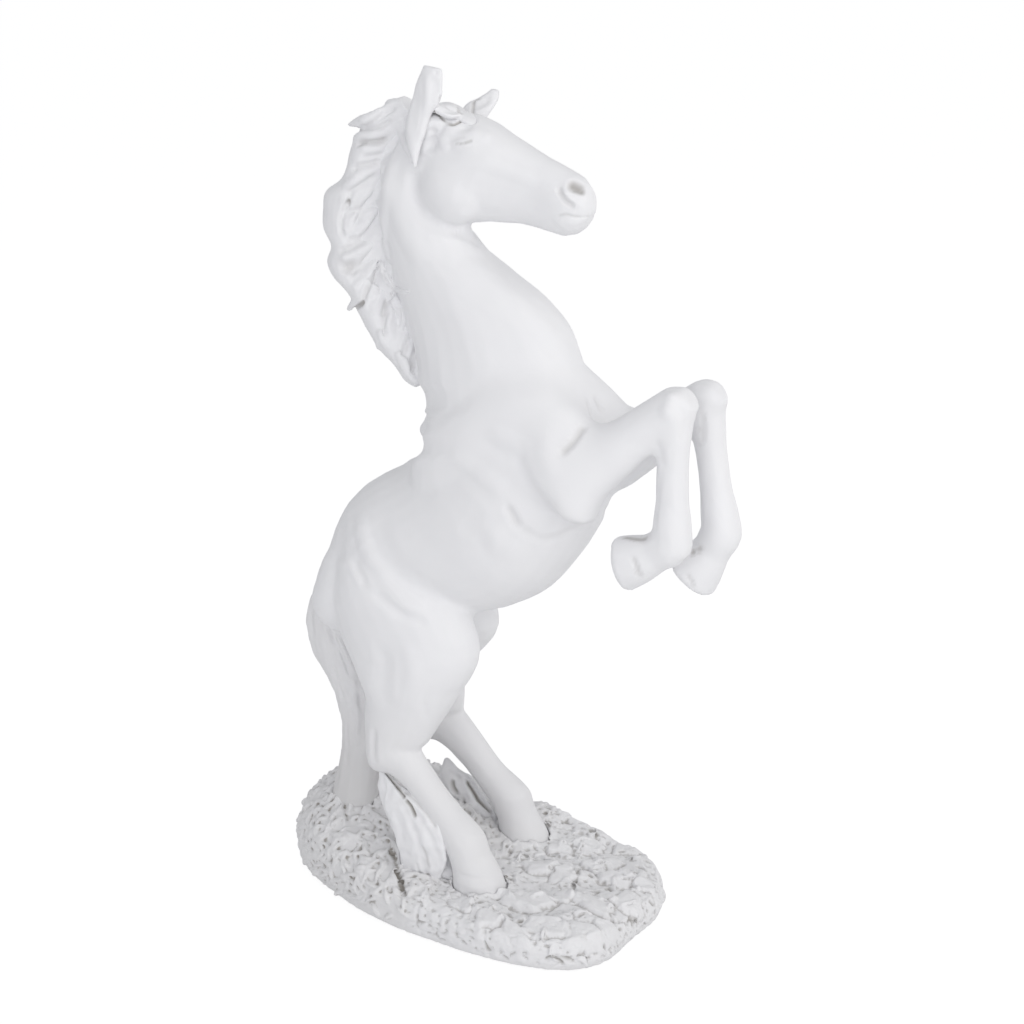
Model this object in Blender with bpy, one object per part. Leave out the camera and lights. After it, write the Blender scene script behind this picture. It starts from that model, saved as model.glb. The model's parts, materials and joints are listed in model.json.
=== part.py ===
"""A rearing horse desk ornament, cast in white resin and bonded together from pieces.

The sculpt is made whole, as a sculptor would make it: a skeleton of bones, flesh lofted round
them, and everything fused into one skin. The skin is then sawn into the pieces that can be cast
from a mould, which are pinned with steel dowels and glued, and bedded in a cast ground.

Units are metres. +X is the way the horse faces, +Y its left side, +Z up. The origin is the
middle of the felt's underside, on the surface that the ornament stands on.
"""

import math

import bmesh
import bpy
import numpy as np
from mathutils import Matrix, Vector, noise

# The ground casting and its felt.
BASE_LENGTH = 0.145
BASE_WIDTH = 0.084
BASE_HEIGHT = 0.0120
MOUND_HEIGHT = 0.0190
MOUND_X = -0.0435
MOUND_Y = 0.010
MOUND_SPREAD = 0.026
FELT_THICKNESS = 0.0012
FELT_MARGIN = 0.005
HOOF_BED = 0.0020
OUTLINE_SKEW_NEAR = 0.11
OUTLINE_SKEW_FAR = -0.02
BANK_HEIGHT = 0.0060
BANK_END = 0.050
BANK_SLOPE = 0.030
LUMP_SIZE = 0.0085
LUMP_HEIGHT = 0.0024
STONE_RISE = 0.0017

# The main flat stones: middle along X and Y, half-length, half-width and turn in degrees.
STONES = [
    (0.0353, -0.0203, 0.0095, 0.0052, 8.0),
    (0.0300, 0.0030, 0.0075, 0.0045, 5.0),
    (0.0470, 0.0030, 0.0070, 0.0050, 35.0),
    (0.0560, -0.0120, 0.0085, 0.0055, -8.0),
    (0.0510, -0.0290, 0.0090, 0.0055, 10.0),
    (0.0640, -0.0260, 0.0060, 0.0055, 20.0),
    (0.0600, 0.0100, 0.0065, 0.0050, 60.0),
    (0.0300, -0.0350, 0.0080, 0.0045, 5.0),
]

# Where the horse stands on it.
HIND_HOOF_X = {"left": 0.0145, "right": 0.0170}
STANCE_HALF = 0.0195

# Hind leg bones, from the hoof upwards: length, and angle from +X towards +Z in degrees.
HIND_HOOF = 0.0080
HIND_HOOF_ANGLE = 104.0
HIND_PASTERN = 0.0125
HIND_PASTERN_ANGLE = 112.0
HIND_CANNON = 0.0405
HIND_CANNON_ANGLE = {"left": 139.5, "right": 135.0}
GASKIN = 0.0420
GASKIN_ANGLE = {"left": 69.0, "right": 60.0}
THIGH = 0.0413
THIGH_ANGLE = 142.8
HOCK_HALF = 0.0190
STIFLE_HALF = 0.0140
HIP_HALF = 0.0115
STIFLE_FRONT = {"left": 0.0140, "right": 0.0112}
GASKIN_FRONT = {"left": 0.0074, "right": 0.0102}
HOCK_FRONT = {"left": 0.0096, "right": 0.0078}

# Trunk, neck and head bones.
TRUNK = 0.0721
TRUNK_ANGLE = 43.9
NECK_ROOT_FORWARD = -0.002
NECK_ROOT_UP = 0.010
NECK = 0.0880
NECK_ANGLE = 107.2
HEAD = 0.0540
HEAD_ANGLE = -17.0
WITHERS = Vector((-0.0290, 0, -0.0090))

# Foreleg bones, from the elbow downwards.
ELBOW_FORWARD = 0.0230
ELBOW_DOWN = 0.0080
ELBOW_HALF = 0.0165
ELBOW_BACK = {"left": 0.0104, "right": 0.0146}
SHOULDER_HALF = 0.0110
UPPER_ARM = 0.0230
UPPER_ARM_ANGLE = 105.0
FOREARM = 0.0480
FOREARM_ANGLE = {"left": 34.2, "right": 36.8}
KNEE_HALF = 0.0112
FORE_CANNON = 0.0445
FORE_PASTERN = 0.0110
FORE_HOOF = 0.0088

# How each foreleg is folded: the angles of its cannon, pastern and hoof.
FORE_POSE = {
    "left": (-81.0, 240.0, 232.0),
    "right": (-90.0, 212.0, 199.0),
}
SIDES = {"left": 1, "right": -1}

# The saw cuts, measured along the bone that each one crosses.
FORE_CUT = 0.0060
FORE_SAW_ABOVE = 0.0165
FORE_SAW_BELOW = 0.0185
HIND_CUT = 0.0300
SAW_FROM_MIDDLE = 0.0005
CUTTER = 0.120

# Pins, their holes and the glue line between castings.
GLUE_GAP = 0.0003
SEAT_GROWTH = 1.5 * GLUE_GAP
DOWEL_RADIUS = 0.0020
DOWEL_DEPTH = 0.0080
WIRE_RADIUS = 0.0013
WIRE_IN_GROUND = 0.0070

# Fineness of the skin.
SCULPT_VOXEL = 0.0012
HAIR_VOXEL = 0.0010
SCULPT_SMOOTHING = 6
HAIR_SMOOTHING = 4
FIGURE_TRIANGLES = 6000
MANE_TRIANGLES = 1100
TAIL_TRIANGLES = 600
TUFT_TRIANGLES = 300

RESIN_WHITE = (0.86, 0.86, 0.85, 1.0)
FELT_GREY = (0.55, 0.55, 0.54, 1.0)
STEEL_GREY = (0.55, 0.56, 0.58, 1.0)

Y_AXIS = Vector((0, 1, 0))


def clear_scene():
    for obj in list(bpy.data.objects):
        bpy.data.objects.remove(obj)


def material(name, colour, roughness, metallic=0.0):
    made = bpy.data.materials.new(name)
    made.use_nodes = True
    shader = made.node_tree.nodes["Principled BSDF"]
    shader.inputs["Base Color"].default_value = colour
    shader.inputs["Roughness"].default_value = roughness
    shader.inputs["Metallic"].default_value = metallic
    made.diffuse_color = colour
    return made


def along(start, length, angle, half=None, side=1):
    """The point one bone further, turned up from +X by angle; half sets its distance from the middle."""
    turned = math.radians(angle)
    end = start + Vector((math.cos(turned), 0, math.sin(turned))) * length
    if half is not None:
        end.y = side * half
    return end


def hind_joints(name):
    """Joints of the left or right hind leg, from the ground up to the stifle."""
    side = SIDES[name]
    ground = FELT_THICKNESS + GLUE_GAP + BASE_HEIGHT - HOOF_BED
    j = {"sole": Vector((HIND_HOOF_X[name], side * STANCE_HALF, ground))}
    j["hoof"] = along(j["sole"], HIND_HOOF, HIND_HOOF_ANGLE, STANCE_HALF, side)
    j["fetlock"] = along(j["hoof"], HIND_PASTERN, HIND_PASTERN_ANGLE, STANCE_HALF, side)
    j["hock"] = along(j["fetlock"], HIND_CANNON, HIND_CANNON_ANGLE[name], HOCK_HALF, side)
    j["stifle"] = along(j["hock"], GASKIN, GASKIN_ANGLE[name], STIFLE_HALF, side)
    return j


def skeleton(side):
    """Joints of one side of the horse. side is 1 on its left and -1 on its right. The hips are set by
    the right hind leg, and the left one is bent further to reach them."""
    name = "left" if side > 0 else "right"
    j = hind_joints(name)
    j["hip"] = along(hind_joints("right")["stifle"], THIGH, THIGH_ANGLE, HIP_HALF, side)
    j["pelvis"] = Vector((j["hip"].x, 0, j["hip"].z))
    j["chest"] = along(j["pelvis"], TRUNK, TRUNK_ANGLE)
    j["neck"] = j["chest"] + Vector((NECK_ROOT_FORWARD, 0, NECK_ROOT_UP))
    j["poll"] = along(j["neck"], NECK, NECK_ANGLE)
    j["muzzle"] = along(j["poll"], HEAD, HEAD_ANGLE)
    cannon_angle, pastern_angle, hoof_angle = FORE_POSE[name]
    j["elbow"] = j["chest"] + Vector((ELBOW_FORWARD, side * ELBOW_HALF, -ELBOW_DOWN))
    j["shoulder"] = along(j["elbow"], UPPER_ARM, UPPER_ARM_ANGLE, SHOULDER_HALF, side)
    j["knee"] = along(j["elbow"], FOREARM, FOREARM_ANGLE[name], KNEE_HALF, side)
    j["fore_fetlock"] = along(j["knee"], FORE_CANNON, cannon_angle, KNEE_HALF, side)
    j["fore_hoof"] = along(j["fore_fetlock"], FORE_PASTERN, pastern_angle, KNEE_HALF, side)
    j["fore_sole"] = along(j["fore_hoof"], FORE_HOOF, hoof_angle, KNEE_HALF, side)
    return j


def ring(bone, share, front, back, half_width, lean=0.0, egg=0.0):
    """One cross-section round a bone (its two ends): how far the flesh stands out to the front and back
    of the bone at that share of its length, and its half-width. lean moves the back end on by a share
    of the bone; egg widens the front and narrows the back."""
    start, end = bone
    axis = end - start
    forward = Y_AXIS.cross(axis).normalized()
    tip = start + axis * share + forward * front
    heel = start + axis * (share + lean) - forward * back
    return ((tip + heel) / 2, (tip - heel) / 2, Vector((0, half_width, 0)), egg)


def spline(values, steps):
    """Catmull-Rom through the rows of values, with that many steps a stretch."""
    rows = [values[0]] + list(values) + [values[-1]]
    made = []
    for a, b, c, d in zip(rows, rows[1:], rows[2:], rows[3:]):
        for step in range(steps):
            t = step / steps
            made.append(0.5 * (2 * b + (c - a) * t + (2 * a - 5 * b + 4 * c - d) * t * t
                               + (3 * b - a - 3 * c + d) * t ** 3))
    made.append(values[-1])
    return made


def loft(bm, rings, steps=4, segments=24):
    """Adds a closed skin through the rings to bm."""
    rows = spline([np.array([*c, *d, *w, egg]) for c, d, w, egg in rings], steps)
    loops = []
    for row in rows:
        centre, depth, width, egg = Vector(row[0:3]), Vector(row[3:6]), Vector(row[6:9]), row[9]
        loop = []
        for k in range(segments):
            a = 2 * math.pi * k / segments
            across = math.sin(a) * (1 + egg * math.cos(a))
            loop.append(bm.verts.new(centre + depth * math.cos(a) + width * across))
        loops.append(loop)
    for lower, upper in zip(loops, loops[1:]):
        for k in range(segments):
            n = (k + 1) % segments
            bm.faces.new((lower[k], lower[n], upper[n], upper[k]))
    bm.faces.new(list(reversed(loops[0])))
    bm.faces.new(loops[-1])


def lock(bm, root, tip, bow, width, thickness, segments=8):
    """A tapered lock of hair from root to tip, bowed out by the vector bow. Its width lies across the
    lock in the XZ plane and its thickness along Y."""
    middle = (root + tip) / 2 + bow * 2
    rings = []
    for t in (0.0, 0.22, 0.45, 0.68, 0.86, 1.0):
        centre = root * (1 - t) ** 2 + middle * 2 * t * (1 - t) + tip * t * t
        way = (middle - root) * (1 - t) + (tip - middle) * t
        share = (0.80 + 0.55 * t) * math.sqrt(max(1 - t ** 2.6, 0.012))
        across = Y_AXIS.cross(way).normalized()
        rings.append((centre, across * width * share, Vector((0, thickness * share, 0)), 0.0))
    loft(bm, rings, steps=2, segments=segments)


def blob(bm, centre, radii, turn=0.0, yaw=0.0):
    """An ellipsoid, pitched up by turn degrees and yawed about Z, for a muscle or a stone."""
    placed = (Matrix.Translation(centre) @ Matrix.Rotation(math.radians(yaw), 4, "Z")
              @ Matrix.Rotation(-math.radians(turn), 4, "Y") @ Matrix.Diagonal((*radii, 1)))
    bmesh.ops.create_icosphere(bm, subdivisions=3, radius=1.0, matrix=placed)


def trunk_rings(j):
    bone = (j["pelvis"], j["chest"])
    return [
        ring(bone, -0.43, 0.004, 0.006, 0.008),
        ring(bone, -0.34, 0.018, 0.0130, 0.0150),
        ring(bone, -0.17, 0.029, 0.0212, 0.0208),
        ring(bone, 0.07, 0.032, 0.0262, 0.0242),
        ring(bone, 0.28, 0.0355, 0.0246, 0.0242),
        ring(bone, 0.45, 0.0410, 0.0215, 0.0250, egg=0.06),
        ring(bone, 0.64, 0.0440, 0.0212, 0.0262, egg=0.10),
        ring(bone, 0.80, 0.0430, 0.0255, 0.0262, egg=0.14),
        ring(bone, 0.97, 0.0405, 0.0325, 0.0250, egg=0.18),
        ring(bone, 1.14, 0.0355, 0.0350, 0.0230, egg=0.15),
        ring(bone, 1.31, 0.0220, 0.0310, 0.0190, egg=0.05),
        ring(bone, 1.42, 0.0080, 0.0200, 0.0140),
        ring(bone, 1.48, 0.0020, 0.0060, 0.0060),
    ]


def neck_rings(j):
    bone = (j["neck"], j["poll"])
    return [
        ring(bone, -0.03, 0.0270, 0.0362, 0.0205, lean=0.12),
        ring(bone, 0.09, 0.0290, 0.0300, 0.0190, lean=0.15),
        ring(bone, 0.24, 0.0284, 0.0284, 0.0168, lean=0.17),
        ring(bone, 0.37, 0.0230, 0.0290, 0.0148, lean=0.22),
        ring(bone, 0.48, 0.0146, 0.0295, 0.0130, lean=0.28),
        ring(bone, 0.59, 0.0064, 0.0280, 0.0116, lean=0.32),
        ring(bone, 0.70, 0.0024, 0.0225, 0.0107, lean=0.34),
        ring(bone, 0.81, 0.0030, 0.0125, 0.0098, lean=0.30),
        ring(bone, 0.92, 0.0084, 0.0010, 0.0085, lean=0.22),
    ]


def head_rings(j):
    bone = (j["poll"], j["muzzle"])
    return [
        ring(bone, -0.12, 0.0080, 0.0080, 0.0060),
        ring(bone, -0.02, 0.0150, 0.0138, 0.0095),
        ring(bone, 0.12, 0.0185, 0.0168, 0.0114),
        ring(bone, 0.26, 0.0183, 0.0168, 0.0120, egg=-0.06),
        ring(bone, 0.40, 0.0153, 0.0152, 0.0106, egg=-0.08),
        ring(bone, 0.54, 0.0128, 0.0139, 0.0086, egg=-0.06),
        ring(bone, 0.68, 0.0108, 0.0126, 0.0074),
        ring(bone, 0.80, 0.0102, 0.0120, 0.0072),
        ring(bone, 0.92, 0.0096, 0.0108, 0.0070),
        ring(bone, 1.01, 0.0068, 0.0075, 0.0056),
        ring(bone, 1.05, 0.0030, 0.0030, 0.0025),
    ]


def hind_hoof_rings(j):
    flat = Vector((0.0102, 0, 0))
    hoof = (j["sole"], j["hoof"])
    return [
        (j["sole"] + Vector((0.0006, 0, 0)), flat, Vector((0, 0.0090, 0)), 0.0),
        ring(hoof, 0.55, 0.0098, 0.0094, 0.0087, lean=-0.08),
        ring(hoof, 1.0, 0.0088, 0.0084, 0.0080, lean=-0.1),
    ]


def hind_leg_rings(j, name):
    stifle_front, gaskin_front, hock_front = STIFLE_FRONT[name], GASKIN_FRONT[name], HOCK_FRONT[name]
    pastern = (j["hoof"], j["fetlock"])
    cannon = (j["fetlock"], j["hock"])
    gaskin = (j["hock"], j["stifle"])
    bend = (j["stifle"], j["stifle"] + j["hip"] - j["hock"])
    thigh = (j["stifle"], j["hip"])
    return hind_hoof_rings(j) + [
        ring(pastern, 0.45, 0.0076, 0.0072, 0.0072),
        ring(pastern, 1.0, 0.0078, 0.0078, 0.0072),
        ring(cannon, 0.22, 0.0062, 0.0066, 0.0060),
        ring(cannon, 0.5, 0.82 * hock_front, 0.0054, 0.0054),
        ring(cannon, 0.8, hock_front, 0.0066, 0.0062),
        ring(cannon, 1.0, 0.0092, 0.0125, 0.0078),
        ring(gaskin, 0.18, 0.0095, 0.0138, 0.0082, lean=-0.12),
        ring(gaskin, 0.42, 0.98 * gaskin_front, 0.0185, 0.0100, lean=-0.16),
        ring(gaskin, 0.70, gaskin_front, 0.0258, 0.0122, lean=-0.32),
        ring(bend, 0.0, stifle_front, 0.0405, 0.0142, lean=0.03),
        ring(thigh, 0.30, 0.0190, 0.0250, 0.0154, lean=0.62),
        ring(thigh, 0.65, 0.0180, 0.0150, 0.0152, lean=0.54),
        ring(thigh, 1.05, 0.0120, 0.0060, 0.0120, lean=0.30),
    ]


def foreleg_lofts(j, name):
    """The foreleg's foot, cannon and forearm, which run into each other at the bent joints."""
    elbow_back = ELBOW_BACK[name]
    hoof = (j["fore_sole"], j["fore_hoof"])
    pastern = (j["fore_hoof"], j["fore_fetlock"])
    cannon = (j["fore_fetlock"], j["knee"])
    forearm = (j["knee"], j["elbow"])
    arm = (j["elbow"], j["shoulder"])
    return [[
        ring(hoof, 0.0, 0.0100, 0.0088, 0.0088),
        ring(hoof, 0.55, 0.0090, 0.0084, 0.0082),
        ring(hoof, 1.0, 0.0078, 0.0078, 0.0075),
        ring(pastern, 0.45, 0.0066, 0.0066, 0.0064),
        ring(pastern, 1.0, 0.0068, 0.0070, 0.0068),
        ring(pastern, 1.5, 0.0034, 0.0034, 0.0034),
    ], [
        ring(cannon, -0.15, 0.0030, 0.0030, 0.0030),
        ring(cannon, -0.04, 0.0066, 0.0062, 0.0064),
        ring(cannon, 0.14, 0.0064, 0.0064, 0.0064),
        ring(cannon, 0.34, 0.0053, 0.0056, 0.0052),
        ring(cannon, 0.62, 0.0050, 0.0056, 0.0051),
        ring(cannon, 0.84, 0.0056, 0.0062, 0.0062),
        ring(cannon, 1.0, 0.0064, 0.0062, 0.0072),
        ring(cannon, 1.14, 0.0040, 0.0040, 0.0046),
    ], [
        ring(forearm, -0.14, 0.0040, 0.0040, 0.0040),
        ring(forearm, -0.04, 0.0070, 0.0066, 0.0070),
        ring(forearm, 0.12, 0.0074, 0.0076, 0.0070),
        ring(forearm, 0.30, 0.0078, 0.0080, 0.0071),
        ring(forearm, 0.50, 0.0096, 0.0094, 0.0084),
        ring(forearm, 0.75, 0.0120, 0.0120, 0.0100),
        ring(forearm, 1.0, 0.0138, elbow_back, 0.0110),
        ring(arm, 0.5, 0.0162, 0.0150, 0.0115),
        ring(arm, 1.0, 0.0115, 0.0130, 0.0110),
        ring(arm, 1.4, 0.0060, 0.0070, 0.0070),
    ]]


def muscles(bm, j, side):
    """Masses that the lofts don't give: buttock, shoulder blade, point of the shoulder and cheek."""
    blob(bm, j["pelvis"] + Vector((-0.012, side * 0.0105, -0.007)), (0.0135, 0.0105, 0.0185), turn=-15)
    blob(bm, j["chest"] + Vector((-0.004, side * 0.0150, 0.002)), (0.034, 0.0100, 0.018), turn=38)
    blob(bm, j["chest"] + Vector((0.0195, side * 0.0140, 0.0095)), (0.0145, 0.0095, 0.0130), turn=10)
    jaw = j["poll"] + (j["muzzle"] - j["poll"]) * 0.14
    blob(bm, jaw + Vector((0.0, side * 0.0062, -0.0080)), (0.0125, 0.0062, 0.0115))


def crest(j, share):
    """A point on the back of the neck, from the withers (0) to the poll (1)."""
    bone = (j["neck"], j["poll"])
    rows = [np.array(ring(bone, s, f, b, w, lean)[0] - ring(bone, s, f, b, w, lean)[1])
            for s, f, b, w, lean in (
                (0.09, 0.0, 0.0230, 0.01, 0.15), (0.24, 0.0, 0.0245, 0.01, 0.17),
                (0.37, 0.0, 0.0260, 0.01, 0.22), (0.48, 0.0, 0.0258, 0.01, 0.28),
                (0.59, 0.0, 0.0235, 0.01, 0.32), (0.70, 0.0, 0.0165, 0.01, 0.34),
                (0.81, 0.0, 0.0060, 0.01, 0.30))]
    made = spline(rows, 8)
    at = min(max(share, 0.0), 1.0) * (len(made) - 1)
    low = min(int(at), len(made) - 2)
    return Vector(made[low] * (1 - at + low) + made[low + 1] * (at - low))


# The mane's mass: share of the crest, how far it stands out from there, and its half-width.
MANE_ROWS = [
    (0.00, 0.0095, 0.0034),
    (0.12, 0.0135, 0.0048),
    (0.28, 0.0172, 0.0058),
    (0.45, 0.0195, 0.0064),
    (0.62, 0.0200, 0.0066),
    (0.80, 0.0158, 0.0066),
    (0.94, 0.0125, 0.0062),
]

# The mane's locks, from the poll down: where each starts on the crest, how far its tip lies out
# from there along X and Z, how far it bows upwards, its half-width, and its offset to a side.
MANE_LOCKS = [
    (1.00, -0.016, 0.003, 0.0060, 0.0052, 0.0020),
    (1.00, -0.0225, -0.004, 0.0050, 0.0052, -0.0030),
    (0.94, -0.0160, -0.010, 0.0050, 0.0056, 0.0030),
    (0.87, -0.0190, -0.014, 0.0050, 0.0060, -0.0030),
    (0.79, -0.0215, -0.020, 0.0050, 0.0062, 0.0032),
    (0.71, -0.0210, -0.024, 0.0048, 0.0062, -0.0034),
    (0.63, -0.0182, -0.026, 0.0048, 0.0062, 0.0030),
    (0.55, -0.0160, -0.026, 0.0046, 0.0062, -0.0034),
    (0.47, -0.0140, -0.026, 0.0044, 0.0060, 0.0030),
    (0.39, -0.0125, -0.025, 0.0042, 0.0058, -0.0030),
    (0.31, -0.0100, -0.023, 0.0038, 0.0056, 0.0028),
    (0.23, -0.0080, -0.018, 0.0034, 0.0052, -0.0026),
    (0.14, -0.0060, -0.011, 0.0030, 0.0046, 0.0016),
]


def mane_shape(bm, j):
    rings = []
    for share, reach, width in MANE_ROWS:
        way = crest(j, share + 0.02) - crest(j, share - 0.02)
        out = way.cross(Y_AXIS).normalized()
        rings.append((crest(j, share) + out * reach / 2, out * (reach / 2 + 0.002), Vector((0, width, 0)), 0.0))
    loft(bm, rings, steps=3, segments=14)
    for share, out, drop, bow, width, side in MANE_LOCKS:
        root = crest(j, share) + Vector((0.001, side, 0))
        tip = root + Vector((out, side * 0.6, drop))
        lock(bm, root, tip, Vector((-bow * 0.5, 0, bow)), width, width * 0.9)


# The tail's rows from the dock down: offset from the dock along X and Z, half-depth, half-width.
TAIL_ROWS = [
    (0.0120, 0.0100, 0.0040, 0.0045),
    (0.0020, 0.0020, 0.0078, 0.0078),
    (-0.0008, -0.0130, 0.0098, 0.0098),
    (0.0032, -0.0280, 0.0098, 0.0100),
    (0.0092, -0.0420, 0.0082, 0.0096),
    (0.0112, -0.0540, 0.0076, 0.0096),
    (0.0105, -0.0660, 0.0082, 0.0108),
    (0.0085, -0.0800, 0.0092, 0.0118),
]


def dock(j):
    return j["pelvis"] + Vector((-0.0225, 0, -0.0130))


def tail_shape(bm, j):
    top = dock(j)
    rows = []
    for across in (-0.75, 0.0, 0.75):
        rings = []
        for dx, dz, depth, width in TAIL_ROWS:
            centre = top + Vector((dx - 0.15 * depth * abs(across), across * width * 0.62, dz))
            rings.append((centre, Vector((depth, 0, 0)), Vector((0, width * 0.52, 0)), 0.0))
        rows.append(rings)
    for rings in rows:
        loft(bm, rings, steps=3, segments=12)


# The ears: which way each one points, and its rows as share of the length, half-width and half-depth.
EAR_LENGTH = 0.0215
EAR_FOOT = Vector((0.0010, 0, 0.0070))
EAR_HALF = 0.0085
EAR_TURN = 0.35
EAR_WAY = {1: (0.28, 0.50, 0.60), -1: (0.04, -0.10, 1.0)}
EAR_ROWS = [
    (-0.25, 0.0034, 0.0030),
    (0.00, 0.0044, 0.0034),
    (0.22, 0.0052, 0.0036),
    (0.50, 0.0050, 0.0032),
    (0.75, 0.0047, 0.0028),
    (0.93, 0.0043, 0.0022),
    (1.00, 0.0030, 0.0014),
]


def ear_shape(bm, j, side):
    """A flattened ear, widest above its foot, set on the poll and turned a little outwards."""
    base = j["poll"] + EAR_FOOT + Vector((0, side * EAR_HALF, 0))
    up = Vector(EAR_WAY[side]).normalized()
    across = (Vector((1, -side * EAR_TURN, 0)) - up * up.x).normalized()
    through = up.cross(across).normalized()
    rings = []
    for share, wide, thick in EAR_ROWS:
        rings.append((base + up * EAR_LENGTH * share, across * wide, through * thick, 0.0))
    loft(bm, rings, steps=1, segments=12)


def forelock_shape(bm, j):
    """The lock that falls from the poll between the ears over the forehead."""
    root = j["poll"] + Vector((0.0000, 0.0, 0.0120))
    tip = j["poll"] + Vector((0.0170, -0.0030, 0.0080))
    lock(bm, root, tip, Vector((0.0, 0, 0.0028)), 0.0026, 0.0050, segments=10)


# Blades of each grass tuft that stands behind a hind cannon: foot offset from the hoof along X,
# how high the blade reaches up the cannon as a share of it, half-width and how far it bows back.
TUFT_REACH = {1: 0.70, -1: 1.0}
TUFT_BLADES = [
    (-0.0170, 0.93, 0.0052, 0.0030),
    (-0.0100, 0.70, 0.0050, 0.0015),
    (-0.0240, 0.55, 0.0040, 0.0040),
]


def tuft_shape(bm, j, side):
    cannon = j["hock"] - j["fetlock"]
    back = Y_AXIS.cross(cannon).normalized()
    for foot_x, reach, width, bow in TUFT_BLADES:
        foot = j["sole"] + Vector((foot_x, 0, -0.0010))
        tip = j["fetlock"] + cannon * reach * TUFT_REACH[side] - back * 0.0095
        lock(bm, foot, tip, Vector((-bow, 0, 0)), width, 0.0036, segments=10)


def mesh_object(name, bm, mat=None):
    bmesh.ops.recalc_face_normals(bm, faces=bm.faces)
    mesh = bpy.data.meshes.new(name)
    bm.to_mesh(mesh)
    bm.free()
    obj = bpy.data.objects.new(name, mesh)
    bpy.context.scene.collection.objects.link(obj)
    if mat:
        mesh.materials.append(mat)
    return obj


def evaluated_mesh(obj):
    """Replaces the object's mesh by what its modifiers make of it."""
    graph = bpy.context.evaluated_depsgraph_get()
    made = bpy.data.meshes.new_from_object(obj.evaluated_get(graph))
    obj.modifiers.clear()
    obj.data = made
    return obj


def keep_main_body(obj):
    """Drops the specks that thinning the faces can leave beside the skin."""
    bm = bmesh.new()
    bm.from_mesh(obj.data)
    left = set(bm.verts)
    groups = []
    while left:
        group, edge = set(), [next(iter(left))]
        while edge:
            vert = edge.pop()
            if vert in group:
                continue
            group.add(vert)
            edge.extend(link.other_vert(vert) for link in vert.link_edges)
        left -= group
        groups.append(group)
    main = max(groups, key=len)
    bmesh.ops.delete(bm, geom=[vert for vert in bm.verts if vert not in main], context="VERTS")
    bm.to_mesh(obj.data)
    bm.free()


def fuse(obj, voxel, smoothing, triangles):
    """Melts the overlapping lofts of an object into one skin, and thins its faces."""
    remesh = obj.modifiers.new("fuse", "REMESH")
    remesh.mode = "VOXEL"
    remesh.voxel_size = voxel
    remesh.adaptivity = 0.0
    smooth = obj.modifiers.new("smooth", "SMOOTH")
    smooth.factor = 0.5
    smooth.iterations = int(smoothing)
    evaluated_mesh(obj)
    faces = 2 * len(obj.data.polygons)
    thin = obj.modifiers.new("thin", "DECIMATE")
    thin.ratio = min(1.0, triangles / faces)
    thin.use_collapse_triangulate = True
    evaluated_mesh(obj)
    keep_main_body(obj)
    return obj


def sculpt():
    bm = bmesh.new()
    left = skeleton(1)
    loft(bm, trunk_rings(left), segments=32)
    loft(bm, neck_rings(left), segments=28)
    loft(bm, head_rings(left))
    blob(bm, left["neck"] + WITHERS, (0.0055, 0.0060, 0.0058))
    for name, side in SIDES.items():
        j = skeleton(side)
        loft(bm, hind_leg_rings(j, name))
        for rings in foreleg_lofts(j, name):
            loft(bm, rings)
        muscles(bm, j, side)
    obj = mesh_object("sculpt", bm)
    return fuse(obj, SCULPT_VOXEL, SCULPT_SMOOTHING, FIGURE_TRIANGLES)


def outline(angle, margin=0.0):
    """The ground's plan: blunt at the front, drawn in at the tail end, most of all on the right."""
    half_length = BASE_LENGTH / 2 - margin
    half_width = BASE_WIDTH / 2 - margin
    c, s = math.cos(angle), math.sin(angle)
    if c > 0:
        power = 3.5 + 0.9 * (s < 0)
    else:
        power = 2.3 - 0.75 * (s < 0)
    half_width *= 1 + (OUTLINE_SKEW_NEAR if s < 0 else OUTLINE_SKEW_FAR) * c
    reach = (abs(c) ** power + abs(s) ** power) ** (-1 / power)
    wobble = 1.0 if margin else 1 + 0.010 * math.sin(5 * angle + 1.0) + 0.006 * math.sin(9 * angle)
    return Vector((half_length * c * reach * wobble, half_width * s * reach * wobble, 0))


def stone_rise(x, y):
    """How far the flat stone at that place, if there is one, stands out of the ground."""
    rise = 0.0
    for middle_x, middle_y, half_length, half_width, turn in STONES:
        turned = math.radians(turn)
        dx, dy = x - middle_x, y - middle_y
        along_stone = (dx * math.cos(turned) + dy * math.sin(turned)) / half_length
        across_stone = (dy * math.cos(turned) - dx * math.sin(turned)) / half_width
        inside = 1 - along_stone ** 4 - across_stone ** 4
        rise = max(rise, STONE_RISE * min(max(inside * 2, 0.0), 1.0))
    return rise


def ground_height(x, y, edge):
    """Height of the ground's top. edge is 0 at the rim and 1 in the middle."""
    mound = math.exp(-((x - MOUND_X) ** 2 + (y - MOUND_Y) ** 2) / (2 * MOUND_SPREAD ** 2))
    bank = BANK_HEIGHT * max(0.0, y) / (BASE_WIDTH / 2) * min(max((BANK_END - x) / BANK_SLOPE, 0.0), 1.0)
    lumps = noise.noise(Vector((x, y, 0.3)) / LUMP_SIZE) * LUMP_HEIGHT + stone_rise(x, y)
    round_off = 1 - (1 - min(edge / 0.16, 1.0)) ** 2
    top = BASE_HEIGHT + mound * MOUND_HEIGHT + bank + lumps
    return FELT_THICKNESS + GLUE_GAP + top * (0.72 + 0.28 * round_off)


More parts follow.
